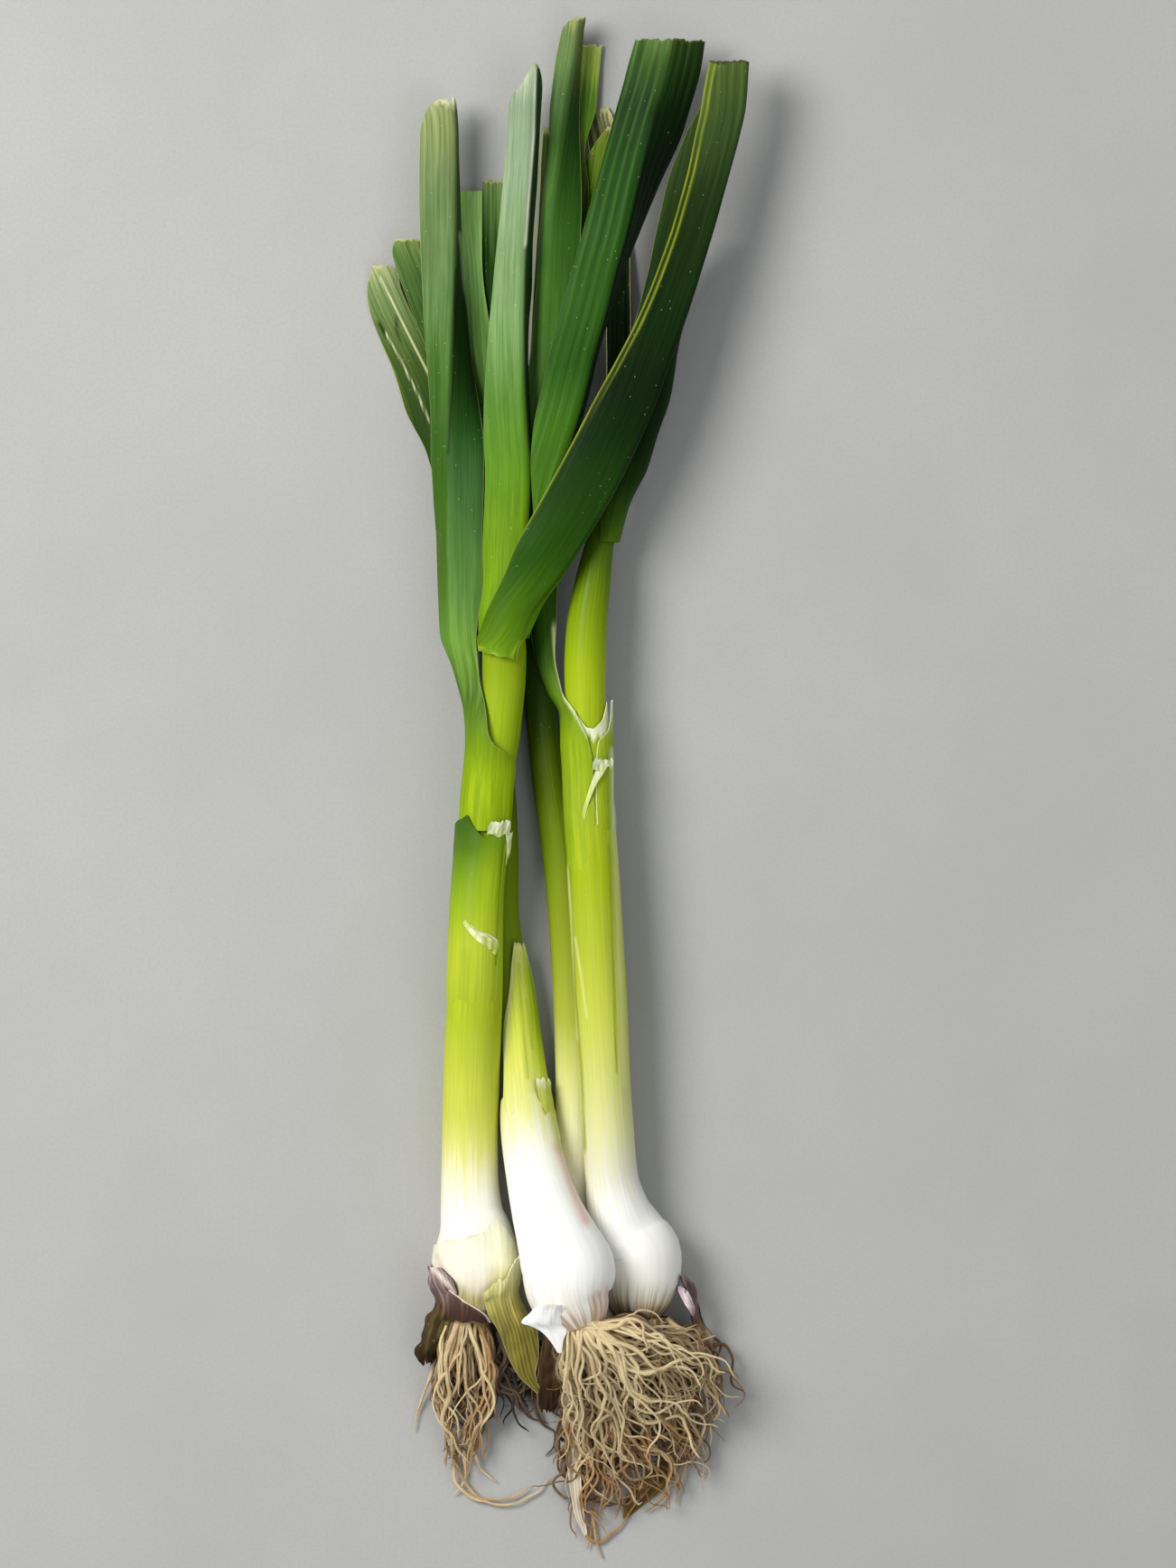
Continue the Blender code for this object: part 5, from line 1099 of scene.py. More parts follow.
def add_stalks():
    """Builds the stalks in place of their CAD nodes."""
    for k, (node, stalk) in enumerate(STALKS.items()):
        mesh = stalk_mesh(node + "_fine", stalk["rows"], stalk["seed"], stalk["paint"])
        look = {word: value for word, value in stalk.items() if word == "left" or word.endswith("_colour")}
        finish = tissue(node + "_finish", shift=5.0 * k, spacing=1.0, length=45.0, veins=0.2, hairs=0.3,
                        sway=11.0, patches=0.0, vein_shade=SHEATH_SHADE, vein_fade=STEM_VEINS, specks=0.03,
                        rough=0.46, bump=0.2, gloss=0.1, waxy=0.08, **look)
        place_piece(node + "_fine", mesh, finish, "stalk_white_green", node)


# Torn sheaths and dry skins, as short blades with rows like those of the leaves. The paper skin
# is drawn narrower than its CAD solid.
PAPER_SHARE = 0.62
SKIN_D_PAPER = (
    (3.7, -214.5, 19.4, 3, 4, -10, 5, 0), (4.1, -222, 16.6, 4.2, 4.2, -10, 5, 0),
    (4.9, -232, 13.4, 4.2, 4.2, -10, 5, 0), (5.3, -240, 11, 4, 3.6, -10, 5, 0),
    (6.9, -256.6, 6.2, 2.9, 2.9, -10, 5, 0), (8.9, -264, 3.8, 1.4, 1.4, -5, 5, 0),
    (9.6, -266.5, 3, 0.6, 0.6, 0, 0, 0),
)
SKINS = {"b_sheath_stub": dict(
    slot="leaf_yellow_green", columns=18, step=1.2,
    rows=(clasp(-10.8, -121, 15.1, 9.9, 60, 15.5, 13), clasp(-11.6, -112.5, 12.9, 9.35, 60, 15, 12.5),
          clasp(-12.4, -105.5, 11.1, 8.6, 55, 14, 11), clasp(-13.8, -88.3, 8.4, 7.4, 52, 12, 8),
          clasp(-15.7, -72.3, 7.1, 7.3, 48, 7.5, 5), clasp(-17.3, -61.1, 6.6, 7.3, 52, 4.4, 2.8),
          clasp(-18.1, -53.9, 6.3, 7.6, 56, 2.4, 1.6)),
    ribs=(1.3, 0.05), torn=(1.6, 5, 6), seed=61, blend=5, sink=(9, 0.8),
    paint=(("pale", 0.9, ((-16.4, -57), (-17.6, -75), (-19.2, -98))),
           ("dark", 1.1, ((-14.4, -62), (-13.2, -80), (-11.2, -102))),
           ("dark", 0.8, ((-11.6, -74), (-9.6, -92)))),
    left=((-121, 235, 234, 190), (-112, 222, 222, 144), (-98, 212, 216, 102), (-82, 196, 206, 70),
          (-66, 192, 202, 84), (-57, 208, 212, 124), (-54, 226, 226, 170)),
    right=((-121, 240, 239, 190), (-112, 228, 230, 140), (-98, 190, 204, 66), (-82, 150, 172, 24),
           (-66, 150, 172, 40), (-57, 190, 200, 96), (-54, 226, 226, 170)),
    margin=0.5, margin_colour=(222, 226, 150), dry=2, veins=0.2, hairs=0.3, patches=0,
    vein_shade=SHEATH_SHADE, dark_colour=(166, 182, 56), gloss=0.1,
), "a_sheath_lip": dict(
    slot="sheath_white", columns=14, step=0.5,
    rows=(clasp(-26.2, -16.8, 20.3, 10.4, 62, 4.5, 4.5), clasp(-26.1, -13.2, 20.3, 11.4, 62, 4.5, 4.5),
          clasp(-26, -10.8, 20.3, 12.2, 62, 3.4, 3.4)),
    wrinkle=(2.2, 0.35), torn=(1.6, 4, 3.5), torn_start=(1.8, 3, 3), seed=62,
    left=((-18, 196, 210, 110), (-13, 238, 240, 200), (-10, 246, 246, 226)),
    veins=0.1,
), "c_sheath_lip": dict(
    slot="sheath_white", columns=14, step=0.5,
    rows=(clasp(10.3, 6.1, 19.3, 10.3, 60, 4, 4.2), clasp(10.2, 9, 19.3, 11, 60, 4, 4.2),
          clasp(10.2, 11.5, 19.3, 11.4, 60, 3, 3.4)),
    wrinkle=(2.2, 0.35), torn=(1.4, 4, 3), torn_start=(2, 3, 3), seed=63,
    left=((5, 196, 210, 110), (9, 236, 239, 198), (12, 246, 246, 226)),
    veins=0.1,
), "c_sheath_peel": dict(
    slot="sheath_white", columns=18, step=1,
    rows=(clasp(11.7, -21, 19.65, 8.9, 12, 10, 9.5), clasp(10.9, -9, 19.5, 9, 12, 10, 9.5),
          clasp(10.4, -3.5, 19.4, 8.7, 12, 9.3, 9.5), clasp(10.2, 7.7, 19.3, 8.9, 12, 9.3, 9.5),
          clasp(9.9, 16.5, 19.2, 9, 12, 8.4, 8), clasp(9.8, 21.5, 19.1, 9.1, 8, 4, 4),
          clasp(9.6, 31.7, 19.1, 9.4, 12, 1, 1)),
    ribs=(1.4, 0.05), torn=(0.8, 3, 5), torn_start=(3, 3, 10), seed=64, sink=(12, 0.5),
    paint=(("pale", 1.2, ((12.4, 17.6), (15, 19.5), (18.6, 26), (18.9, 31.7))),
           ("pale", 1.7, ((19.4, -22), (19, 0), (18.7, 14)))),
    left=((-21, 160, 180, 20), (-4, 162, 182, 40), (8, 154, 180, 26), (18, 168, 190, 50),
          (32, 232, 236, 190)),
    margin=0.5, margin_colour=(226, 232, 160), veins=0.15, dry=3, dry_colour=(236, 238, 200),
    vein_shade=SHEATH_SHADE,
), "a_skin_olive": dict(
    slot="skin_olive", columns=22, step=1,
    rows=(clasp(-29.3, -164, 14, 15.6, 52, 9, 8), clasp(-29, -169, 14.3, 16.3, 50, 9.5, 9),
          clasp(-29, -174, 14.4, 16.5, 50, 9, 9), clasp(-29, -178, 14.6, 16, 48, 9.5, 8.5),
          (-17, -184.3, 24.5, 9.5, 8, 38, -40, -2.6), (-14.1, -192.3, 20, 7.5, 7, 25, -20, -1.5),
          (-12.5, -200.3, 15.5, 6, 5.5, 15, -15, -1), (-10.9, -207.4, 13, 4, 2.5, 10, -10, 0),
          (-6.7, -214.7, 12, 0.8, 0.8, 0, 0, 0)),
    ribs=(1.5, 0.12), wrinkle=(5, 0.35), torn=(1.2, 4, 5), torn_start=(2, 6, 20), seed=65, sink=(8, 1.2),
    outline_start=((0, 12), (0.35, 8), (0.7, 3), (1, 0)),
    left=((-215, 66, 54, 26), (-211, 112, 108, 46), (-203, 134, 124, 54), (-192, 158, 150, 72),
          (-183, 196, 188, 104), (-177, 226, 220, 142), (-170, 250, 246, 196), (-164, 255, 252, 214)),
    margin=0.2, margin_colour=(222, 212, 160), veins=0.3, hairs=0.3, vein_colour=(112, 104, 48),
    vein_fade=(-170, -190), rough=0.5, patches=0.08, patch_colour=(104, 108, 40),
), "a_skin_brown": dict(
    slot="skin_brown", columns=20, step=0.9,
    rows=(clasp(-29, -169, 14.4, 17, 160, 6, 7), clasp(-29, -174.7, 14.4, 16.9, 152, 7, 10),
          (-42, -181.1, 20, 7, 8, -60, 40, -5), (-43.6, -187.5, 17, 7, 7.4, -50, 20, -4),
          (-45, -194.6, 14, 6.6, 6.4, -45, 5, -3), (-46.6, -201, 11, 4.8, 4, -30, 0, -1),
          (-47, -205, 9.6, 1.6, 1.6, -20, 0, 0)),
    ribs=(1.8, 0.1), wrinkle=(3.6, 0.8), torn=(2, 4, 6), seed=66, sink=(6, 0.8),
    paint=(("pale", 1.3, ((-45.4, -166), (-43.4, -170), (-40.4, -173.6), (-37, -177.4))),),
    left=((-205, 26, 22, 14), (-198, 62, 52, 26), (-190, 104, 98, 52), (-184, 112, 94, 62),
          (-178, 142, 120, 118), (-169, 178, 160, 160)),
    margin=0.4, margin_colour=(52, 38, 30), veins=0.5, hairs=0.4, vein_colour=(50, 34, 24), rough=0.5,
    patches=0.55, patch_colour=(60, 42, 30), pale_colour=(240, 224, 210),
), "b_skin_star": dict(
    slot="sheath_white", columns=20, step=0.7,
    rows=(clasp(4.3, -180.5, 33.6, 15.9, 118, 4, 5), (-4.2, -183.7, 45.7, 6.8, 5, -30, 15, -2),
          (-4.5, -187.5, 43.5, 9.6, 5.4, -22, 5, -1), (-2.9, -190.1, 41.5, 5, 5.5, -18, 0, 0),
          (-1, -193.9, 40.5, 2.6, 2.6, -15, 0, 0), (0.3, -198.7, 39.5, 0.6, 0.6, 0, 0, 0)),
    ribs=(1.5, 0.04), wrinkle=(5, 0.3), torn=(0.6, 3, 3), seed=67, sink=(3, 0.5),
    left=((-199, 240, 236, 226), (-190, 252, 252, 250), (-180, 250, 250, 246)),
    veins=0.06, hairs=0.06, specks=0, patches=0.03, vein_colour=(214, 206, 190),
), "c_skin_side": dict(
    slot="skin_brown", columns=18, step=0.9,
    rows=(clasp(29.1, -172.2, 13.2, 15.4, 14, 3, 4), (46.6, -176.3, 15.6, 4.2, 4.6, 60, -70, -4),
          (48, -181.1, 13.6, 5.2, 5, 50, -75, -4), (48.9, -186.4, 11, 3.6, 3.4, 40, -60, -2),
          (50.8, -190.4, 9.6, 3.8, 3.6, 30, -60, -2), (52.4, -194.9, 8.4, 4.6, 4.4, 30, -60, -4),
          (53, -200.3, 6.5, 2.6, 2.6, 30, -50, 0)),
    ribs=(1.4, 0.08), wrinkle=(3, 0.7), torn=(1.4, 4, 5), seed=68,
    left=((-201, 150, 134, 108), (-194, 176, 158, 126), (-188, 104, 78, 66), (-182, 128, 104, 108),
          (-176, 110, 86, 92), (-172, 170, 154, 150)),
    margin=0.6, margin_colour=(56, 38, 40), veins=0.4, hairs=0.35, vein_colour=(80, 54, 54), rough=0.45,
    patches=0.4, patch_colour=(88, 64, 58),
), "d_skin_paper": dict(
    slot="sheath_white", columns=12, step=1.1,
    rows=narrower(SKIN_D_PAPER, PAPER_SHARE),
    ribs=(1.4, 0.15), wrinkle=(3.4, 0.6), torn=(1, 3, 6), seed=69,
    left=((-267, 228, 220, 202), (-252, 214, 205, 186), (-236, 196, 184, 162), (-214, 160, 138, 106)),
    margin=0.4, margin_colour=(236, 228, 208), veins=0.4, hairs=0.4, vein_colour=(136, 122, 100), rough=0.5,
    patches=0.3, patch_colour=(148, 134, 112), specks=0,
), "d_skin_olive": dict(
    slot="skin_olive", columns=16, step=1,
    rows=((41, -238, 0.5, 3, 3, 0, 0, 0), (37, -243, 0.5, 6, 5, 0, 0, 0), (32, -249, 0.5, 6, 5, 0, 0, 0),
          (27, -255, 0.5, 4, 3, 0, 0, 0), (23, -260, 0.5, 0.6, 0.6, 0, 0, 0)),
    ribs=(1.4, 0.08), wrinkle=(4, 0.3), torn=(1, 3, 5), seed=70,
    left=((-260, 112, 88, 50), (-248, 138, 112, 66), (-238, 146, 122, 74)),
    margin=0.4, margin_colour=(150, 130, 84), veins=0.5, hairs=0.5, vein_colour=(60, 44, 20), rough=0.55,
    patches=0.4, patch_colour=(60, 44, 20), specks=0,
)}

# Dry skins with no node of their own, as blades.
EXTRA_SKINS = {"d_husk_dark": dict(
    slot="skin_brown", columns=16, step=1,
    rows=((1, -184, 19, 5, 5, -50, 20, -3), (-1, -192, 20.5, 7.5, 6, -50, 10, -3),
          (-2, -200, 20, 8.5, 6.5, -45, 10, -3), (-2.6, -208, 17.5, 7.6, 6, -40, 5, -3),
          (-3.6, -216, 14, 5.4, 5, -30, 0, -2), (-4.2, -222, 12, 2, 2, 0, 0, 0)),
    ribs=(1.6, 0.12), wrinkle=(3.6, 0.7), torn=(2.4, 5, 6), seed=91,
    left=((-223, 40, 30, 20), (-210, 70, 52, 34), (-196, 92, 70, 46), (-184, 70, 52, 36)),
    margin=0.5, margin_colour=(120, 98, 66), veins=0.5, hairs=0.5, vein_colour=(34, 24, 16), rough=0.55,
    patches=0.5, patch_colour=(38, 28, 18), specks=0,
), "c_flap_white": dict(
    slot="sheath_white", columns=10, step=0.6,
    rows=((42.2, -175.6, 18.4, 0.6, 1, -20, -20, 0), (43.9, -178.6, 18.9, 1.8, 2.6, 20, -30, -3),
          (45.6, -181.8, 18.4, 2, 3.2, 30, -40, -3), (47, -184.8, 17, 1.4, 1.8, 20, -40, -2),
          (48, -187.6, 15.4, 0.5, 0.6, 0, -30, 0)),
    ribs=(1, 0.08), wrinkle=(2, 0.4), torn=(1, 3, 2), torn_start=(0.8, 3, 2), seed=92,
    left=((-188, 150, 124, 120), (-184, 226, 214, 218), (-180, 244, 236, 240), (-175, 196, 176, 186)),
    veins=0.3, hairs=0.4, specks=0, patches=0.3, patch_colour=(176, 150, 164), margin=0.5,
    margin_colour=(92, 62, 74), vein_colour=(160, 132, 146),
)}

# Thin skins that lie close round a stalk and have no node of their own. Each row gives
# y, the angles of the left and right edge, and the distance from the stalk's centre line.
WRAPS = {"a_sheath_torn": dict(
    stalk=STALK_A, slot="stalk_white_green", columns=48,
    rows=((-84, 206, 40, 10.25), (-72, 206, 40, 10.15), (-56, 206, 38, 9.95), (-40, 206, 36, 9.75),
          (-26, 206, 36, 9.85), (-21, 206, 36, 10.15), (-16, 206, 36, 10.55), (-9, 206, 36, 10.75)),
    ribs=(1.5, 0.04), torn=(0.5, 6, 22), seed=81, blend=9, sink=(16, 1.2),
    outline=((0, 5), (0.27, 2.2), (0.46, 0), (0.56, 4.5), (0.68, 8), (0.8, 6.6), (0.92, 6.6), (1, 9)),
    paint=(("pale", 0.9, ((-18.6, -20), (-19.8, -40), (-21, -62))),
           ("dark", 0.9, ((-20, -18), (-21.2, -40), (-22.4, -62)))),
    left=((-84, 180, 195, 44), (-56, 178, 195, 42), (-40, 142, 172, 12), (-30, 112, 148, 8),
          (-20, 76, 114, 6), (-9, 52, 88, 4)),
    right=((-84, 180, 195, 44), (-56, 182, 198, 46), (-40, 164, 188, 22), (-30, 152, 180, 14),
           (-20, 120, 156, 8), (-9, 80, 120, 6)),
    margin=0.3, margin_colour=(200, 214, 110), veins=0.2, hairs=0.3, rough=0.42, gloss=0.2,
    vein_shade=SHEATH_SHADE, vein_fade=STEM_VEINS, dark_colour=(110, 138, 14), pale_colour=(206, 218, 110),
), "a_membrane": dict(
    stalk=STALK_A, slot="sheath_white", columns=10,
    rows=((-58.4, 50, 40, 10.2), (-56.4, 66, 38, 10.45), (-54, 84, 42, 10.7), (-51.6, 98, 60, 10.9),
          (-49.4, 108, 84, 10.8), (-47.4, 115, 103, 10.6), (-46, 117, 113, 10.3)),
    wrinkle=(1.3, 0.5), torn=(0.6, 2, 2), torn_start=(2.4, 3, 2), seed=82,
    left=((-58, 186, 204, 70), (-54, 214, 224, 140), (-51, 238, 242, 204), (-48, 206, 218, 116),
          (-46, 222, 230, 160)),
    veins=0.2, hairs=0.3, vein_shade=SHEATH_SHADE, margin=0.25, margin_colour=(226, 232, 160),
), "a_strip": dict(
    stalk=STALK_A, slot="sheath_white", columns=8,
    rows=((-26.5, 29, 25, 10.3), (-21, 36, 25, 10.7), (-15, 48, 24, 11.1)),
    wrinkle=(1.8, 0.25), torn=(0.5, 2, 2), seed=87,
    left=((-27, 200, 214, 110), (-20, 232, 236, 180), (-15, 242, 243, 214)),
    veins=0.1,
), "a_skin_cream": dict(
    stalk=STALK_A, slot="stalk_white_green", columns=64,
    rows=((-184, 206, 14, 12), (-178.6, 206, 14, 14), (-173, 206, 14, 15.6), (-168.5, 206, 14, 15.9),
          (-163.5, 206, 14, 15.2), (-157, 206, 14, 13.4), (-150.8, 206, 14, 11.8)),
    ribs=(2.2, 0.07), wrinkle=(7, 0.12), torn=(0.9, 14, 24), seed=83, blend=9, lean=5,
    outline=((0, 11), (0.32, 9.5), (0.49, 8.3), (0.6, 7), (0.68, 5.6), (0.76, 1.6), (0.81, 0), (0.875, 4),
             (1, 11)),
    paint=(("pale", 5.5, ((-37, -178), (-29, -181.5), (-21, -180), (-14, -176.5))),
           ("dark", 0.5, ((-40.5, -159.4), (-34, -158.3), (-27, -157.2))),
           ("stain", 1.4, ((-43, -165), (-39.5, -174), (-33, -181)))),
    left=((-184, 206, 184, 156), (-179, 236, 224, 198), (-170, 244, 240, 226), (-158, 236, 231, 210),
          (-150, 238, 236, 196)),
    # The right side is cream, set brighter as painted light where the light falls from above.
    right=((-184, 142, 138, 58), (-180, 182, 178, 88), (-175, 230, 224, 150), (-168, 255, 252, 212),
           (-156, 255, 252, 224), (-150, 250, 246, 206)),
    margin=0.35, margin_colour=(222, 214, 150), veins=0.06, hairs=0.14, vein_shade=(0.84, 0.82, 0.66),
    patches=0.06, patch_colour=(206, 196, 130), stain_colour=(226, 198, 176), pale_colour=(166, 158, 80),
    dark_colour=(206, 196, 130), specks=0,
), "a_skin_ring": dict(
    stalk=STALK_A, slot="skin_brown", columns=34,
    rows=((-188.8, 208, 62, 11), (-184.5, 208, 80, 12.9), (-182, 208, 100, 13.9), (-178, 208, 122, 15.2),
          (-174, 206, 138, 16.3), (-171, 204, 152, 16.2), (-168, 200, 168, 15.9)),
    ribs=(1.8, 0.08), wrinkle=(3.4, 0.35), torn=(0.6, 3, 4), torn_start=(1.6, 7, 5), seed=93,
    # The dark colours at its low end are painted shade in the gap under the bulb.
    left=((-189, 34, 20, 12), (-185.5, 66, 42, 30), (-181, 104, 80, 72), (-174, 150, 130, 128),
          (-168, 190, 172, 166)),
    margin=1.1, margin_colour=(236, 220, 204), veins=0.4, hairs=0.35, vein_colour=(84, 62, 56), rough=0.45,
    patches=0.35, patch_colour=(92, 70, 60), dry=0, specks=0,
), "b_membrane": dict(
    stalk=STALK_B, slot="sheath_white", columns=12,
    rows=((-130, 22, 8, 10.9), (-124, 36, 4, 10.6), (-117, 48, 2, 10.15), (-110, 60, 2, 9.85),
          (-105.5, 66, 6, 9.9), (-102, 64, 26, 10.2)),
    ribs=(1.3, 0.05), wrinkle=(2.6, 0.2), torn=(2.6, 4, 5), torn_start=(3, 3, 8), seed=84, sink=(10, 0.8),
    left=((-130, 240, 240, 200), (-120, 222, 226, 146), (-111, 188, 198, 88), (-106, 196, 204, 104),
          (-102, 240, 240, 208)),
    margin=0.4, margin_colour=(150, 140, 84), veins=0.2, hairs=0.4, vein_shade=SHEATH_SHADE,
), "c_strip": dict(
    stalk=STALK_C, slot="sheath_white", columns=8,
    rows=((-15, 112, 110, 9.25), (-9, 106, 100, 9.45), (-3, 96, 87, 9.7), (2, 86, 74, 9.95),
          (6.5, 76, 56, 10.4)),
    wrinkle=(2, 0.12), torn=(0.5, 2, 2), torn_start=(1.2, 2, 4), seed=85, sink=(6, 0.3),
    left=((-15, 176, 194, 56), (-8, 192, 208, 90), (0, 216, 226, 146), (7, 242, 243, 212)),
    veins=0.15, hairs=0.3, vein_shade=SHEATH_SHADE, margin=0.2, margin_colour=(222, 230, 160),
), "c_sheath_inner": dict(
    stalk=STALK_C, slot="stalk_white_green", columns=22,
    rows=((-10, 122, 18, 8.2), (8, 124, 18, 8.25), (18, 128, 18, 8.2), (31, 134, 20, 7.9)),
    torn=(0.5, 4, 18), seed=86, outline=((0, 1.5), (0.2, 5.5), (0.35, 8.8), (0.5, 9.6), (0.75, 6.6), (1, 0)),
    left=((-10, 160, 182, 30), (8, 158, 180, 32), (17, 160, 182, 40), (19.5, 236, 239, 200),
          (31, 232, 236, 190)),
    veins=0.1, hairs=0.2, vein_shade=SHEATH_SHADE, margin=0.4, margin_colour=(246, 246, 222),
)}


def add_blades(skins):
    """Builds sheaths and skins from their rows; those of SKINS stand for the node of their name."""
    for k, (node, skin) in enumerate(skins.items()):
        grid = blade_grid(skin["rows"], skin["columns"], skin["step"])
        nodes = (node,) if node in SKINS else ()
        add_sheet(node, "_fine", skin, grid, sizes().skin_thickness, nodes, shift=9.0 * k + 1.0, sway=3.0)


def add_wraps():
    """Builds the thin skins that lie close round a stalk."""
    for k, (name, skin) in enumerate(WRAPS.items()):
        grid = wrap_grid(skin["stalk"], skin["rows"], skin["columns"])
        add_sheet(name, "", skin, grid, sizes().skin_thickness, (), shift=6.0 * k + 2.0, patches=0.08,
                  hairs=0.12, sway=3.0)


# Roots. A tuft starts on a plate and spreads towards -Y inside a border, whose rows give
# y, the lowest and highest x, and the height of the pile there.
# dark darkens some of a tuft's roots at random, in tone and in painted shade; d_roots, which lies lowest, has
# the most.
TUFTS = {"a_roots_straw": dict(
    slot="root_straw", plate=(-32.6, -187.2, 11.6), plate_size=(8.2, 8), count=84, seed=101, sway=0.7,
    length=(26, 64), heading=(-18, 16), dark=0.7,
    border=((-186, -43, -23, 18), (-200, -44, -21, 14), (-212, -45, -23, 11), (-225, -41, -26, 8),
            (-240, -39, -30, 5), (-252, -38, -31, 3)),
    strays=(((-38.1, -236, 3.6), (-37, -245.5, 2.4), (-31.7, -251.5, 1.8), (-22, -254.6, 1.6),
             (-15.7, -254.1, 1.5), (-8, -250, 1.3), (-2.9, -245.1, 1)),
            ((-37, -238, 3), (-33.5, -247, 2.4), (-26, -252.6, 2), (-17, -252, 1.6), (-10.5, -248.5, 1.2)),
            ((-34, -228, 4.4), (-29.5, -238, 3), (-26, -244, 2), (-22, -247, 1.2)),
            ((-43, -200, 6), (-46.1, -209.9, 4), (-49.5, -219, 2), (-51.5, -228.5, 1.2)),
            ((-30, -214, 6), (-26.6, -224, 4), (-25.4, -232, 2.4), (-27.4, -238, 1.4)),
            ((-34, -232, 4), (-33.5, -243, 2.4), (-35.5, -249, 1.6), (-38, -251.5, 1.2))),
), "a_roots_dark": dict(
    slot="root_dark", plate=(-20.6, -189.6, 9), plate_size=(5.6, 6.4), count=56, seed=102, sway=1.3,
    length=(22, 48), heading=(0, 46), dark=0.4,
    border=((-188, -27, -14, 13), (-200, -26, -4, 9), (-212, -22, 4, 7), (-232, -18, 7, 4)),
    strays=(((-16, -206, 6), (-9.5, -218, 3.4), (-6.1, -225.9, 2.2), (-1.9, -229.1, 1.8),
             (-2.2, -233.9, 1.4), (-5.1, -238.1, 1)),
            ((-20, -200, 7), (-17, -214, 4), (-11, -223, 2), (-4, -226, 1.2)),
            ((-22, -200, 7), (-18.6, -209, 4), (-12, -213, 3), (-6, -219, 2), (1, -224, 1.2))),
), "b_roots": dict(
    slot="root_straw", plate=(8.8, -187.4, 33.8), plate_size=(8.6, 8.2), count=200, seed=103, sway=1,
    length=(30, 64), heading=(-12, 78), dark=0.25,
    border=((-185, -1, 24, 42), (-192, 0, 34, 40), (-200, 0, 52, 33), (-210, 1, 56, 27), (-224, 4, 54, 20),
            (-238, 8, 50, 13), (-246, 12, 46, 10)),
    strays=(((12, -188.5, 39.5), (22, -193.5, 36), (34, -196.5, 27), (48, -196, 18), (55.5, -193.5, 13)),
            ((14, -190, 39), (25, -200, 31), (40, -205.5, 21), (52, -205, 13)),
            ((8, -189, 41), (10.5, -200, 34), (20, -211, 27), (38, -216, 18), (53, -212, 11)),
            ((10, -192, 38), (20, -210, 26), (40, -221, 14), (51, -222, 8), (59, -225.5, 5))),
), "c_roots": dict(
    slot="root_straw", plate=(31, -187.6, 12.4), plate_size=(8.6, 8.4), count=150, seed=104, sway=1,
    length=(26, 60), heading=(-20, 44), dark=0.7,
    border=((-186, 20, 46, 20), (-200, 16, 55, 18), (-215, 16, 56, 13), (-230, 20, 52, 8),
            (-248, 26, 46, 4)),
    strays=(((36, -226, 6), (40.3, -240.3, 2.6), (41.6, -246, 1.8), (41.3, -250.5, 1.2)),
            ((45.5, -226, 5), (45.1, -238.7, 2.6), (43.6, -247, 1.6), (41.9, -254.7, 1)),
            ((40, -192, 18), (49, -204, 13), (52.6, -218, 8), (53.6, -230, 4), (51, -238, 2)),
            ((36, -192, 19), (44, -208, 14), (48, -226, 7), (52, -240, 2.4), (50.4, -245.6, 1.4))),
), "d_roots": dict(
    slot="root_straw", plate=(12.6, -212.6, 11), plate_size=(8.6, 7.4), count=160, seed=105, sway=1.1,
    length=(28, 60), heading=(-18, 58), dark=1.3,
    border=((-211, 1, 30, 18), (-225, 2, 46, 14), (-240, 6, 48, 9), (-256, 9, 42, 5), (-268, 10, 32, 3)),
    strays=(((19, -224, 10), (22.7, -245.1, 4.4), (21.1, -251.5, 3.4), (22.6, -254.6, 2.8),
             (25.9, -253.1, 2.4), (27, -247, 2)),
            ((24, -220, 11), (25, -232.3, 8), (26.2, -243, 5), (26.9, -253.1, 2.2)),
            ((28, -222, 9), (30.7, -235.5, 6), (34.5, -242, 3.4), (35.5, -248.3, 1.8)),
            ((40, -238, 4.2), (38.7, -248.3, 2.8), (35, -254, 2), (30.7, -257.9, 1.4)),
            ((7, -247, 3.4), (6.7, -257.9, 2.2), (9.9, -265.9, 1.8), (13.8, -268.2, 1.6),
             (19.5, -264.3, 1.6), (27.5, -254.1, 1.5), (33, -248, 1.6)),
            ((11, -256, 2.6), (13.1, -267.1, 1.4), (15.7, -274.2, 0.9)),
            ((15, -236, 7), (13, -250, 4), (11.5, -262.7, 2), (9.9, -270.7, 1))),
)}
# Bulbs that roots lie over.
BENEATH = (STALK_C, STALK_D)
ROOT_STEP = 1.6
ROOT_SIDES = 6
ROOT_CLEARANCE = 0.8
# Height of the centre of a root that lies on the table.
ROOT_REST = 0.9
# Waves of a root: their strength, and their slowest and fastest pace.
ROOT_WAVES = ((0.7, 0.05, 0.12), (0.8, 0.16, 0.34), (0.45, 0.5, 0.9))
# A root bends freely from this far out, and kinks with this chance a step.
LOOSE_LENGTH = 24.0
KINK_CHANCE = 0.06
# How near the sides and the foot of the border turn a root back, and how strongly.
BORDER_REACH, FOOT_REACH = 3.0, 8.0
BORDER_TURN, FOOT_TURN = 0.5, 0.12
# Lengths over which a root turns to its heading, and comes down to its height.
TURN_LENGTH, FALL_LENGTH = 4.0, 12.0
# The plate from above down: how far down, and its share of the full radius there.
PLATE_SIDES = 40
PLATE_INSET = 1.6
PLATE_PROFILE = ((0.0, 0.9), (0.6, 1.0), (2.0, 0.97), (3.4, 0.84), (4.6, 0.55), (5.2, 0.2))
# How far a root tapers, how uneven its thickness is, and how far it wiggles.
ROOT_TAPER, ROOT_LUMPS, ROOT_WIGGLE = 0.68, 0.12, 0.28
# Thickness of roots as a share of the stoutest, and of the listed strays.
ROOT_SIZES = (0.5, 1.12)
STRAY_SIZE = 0.8
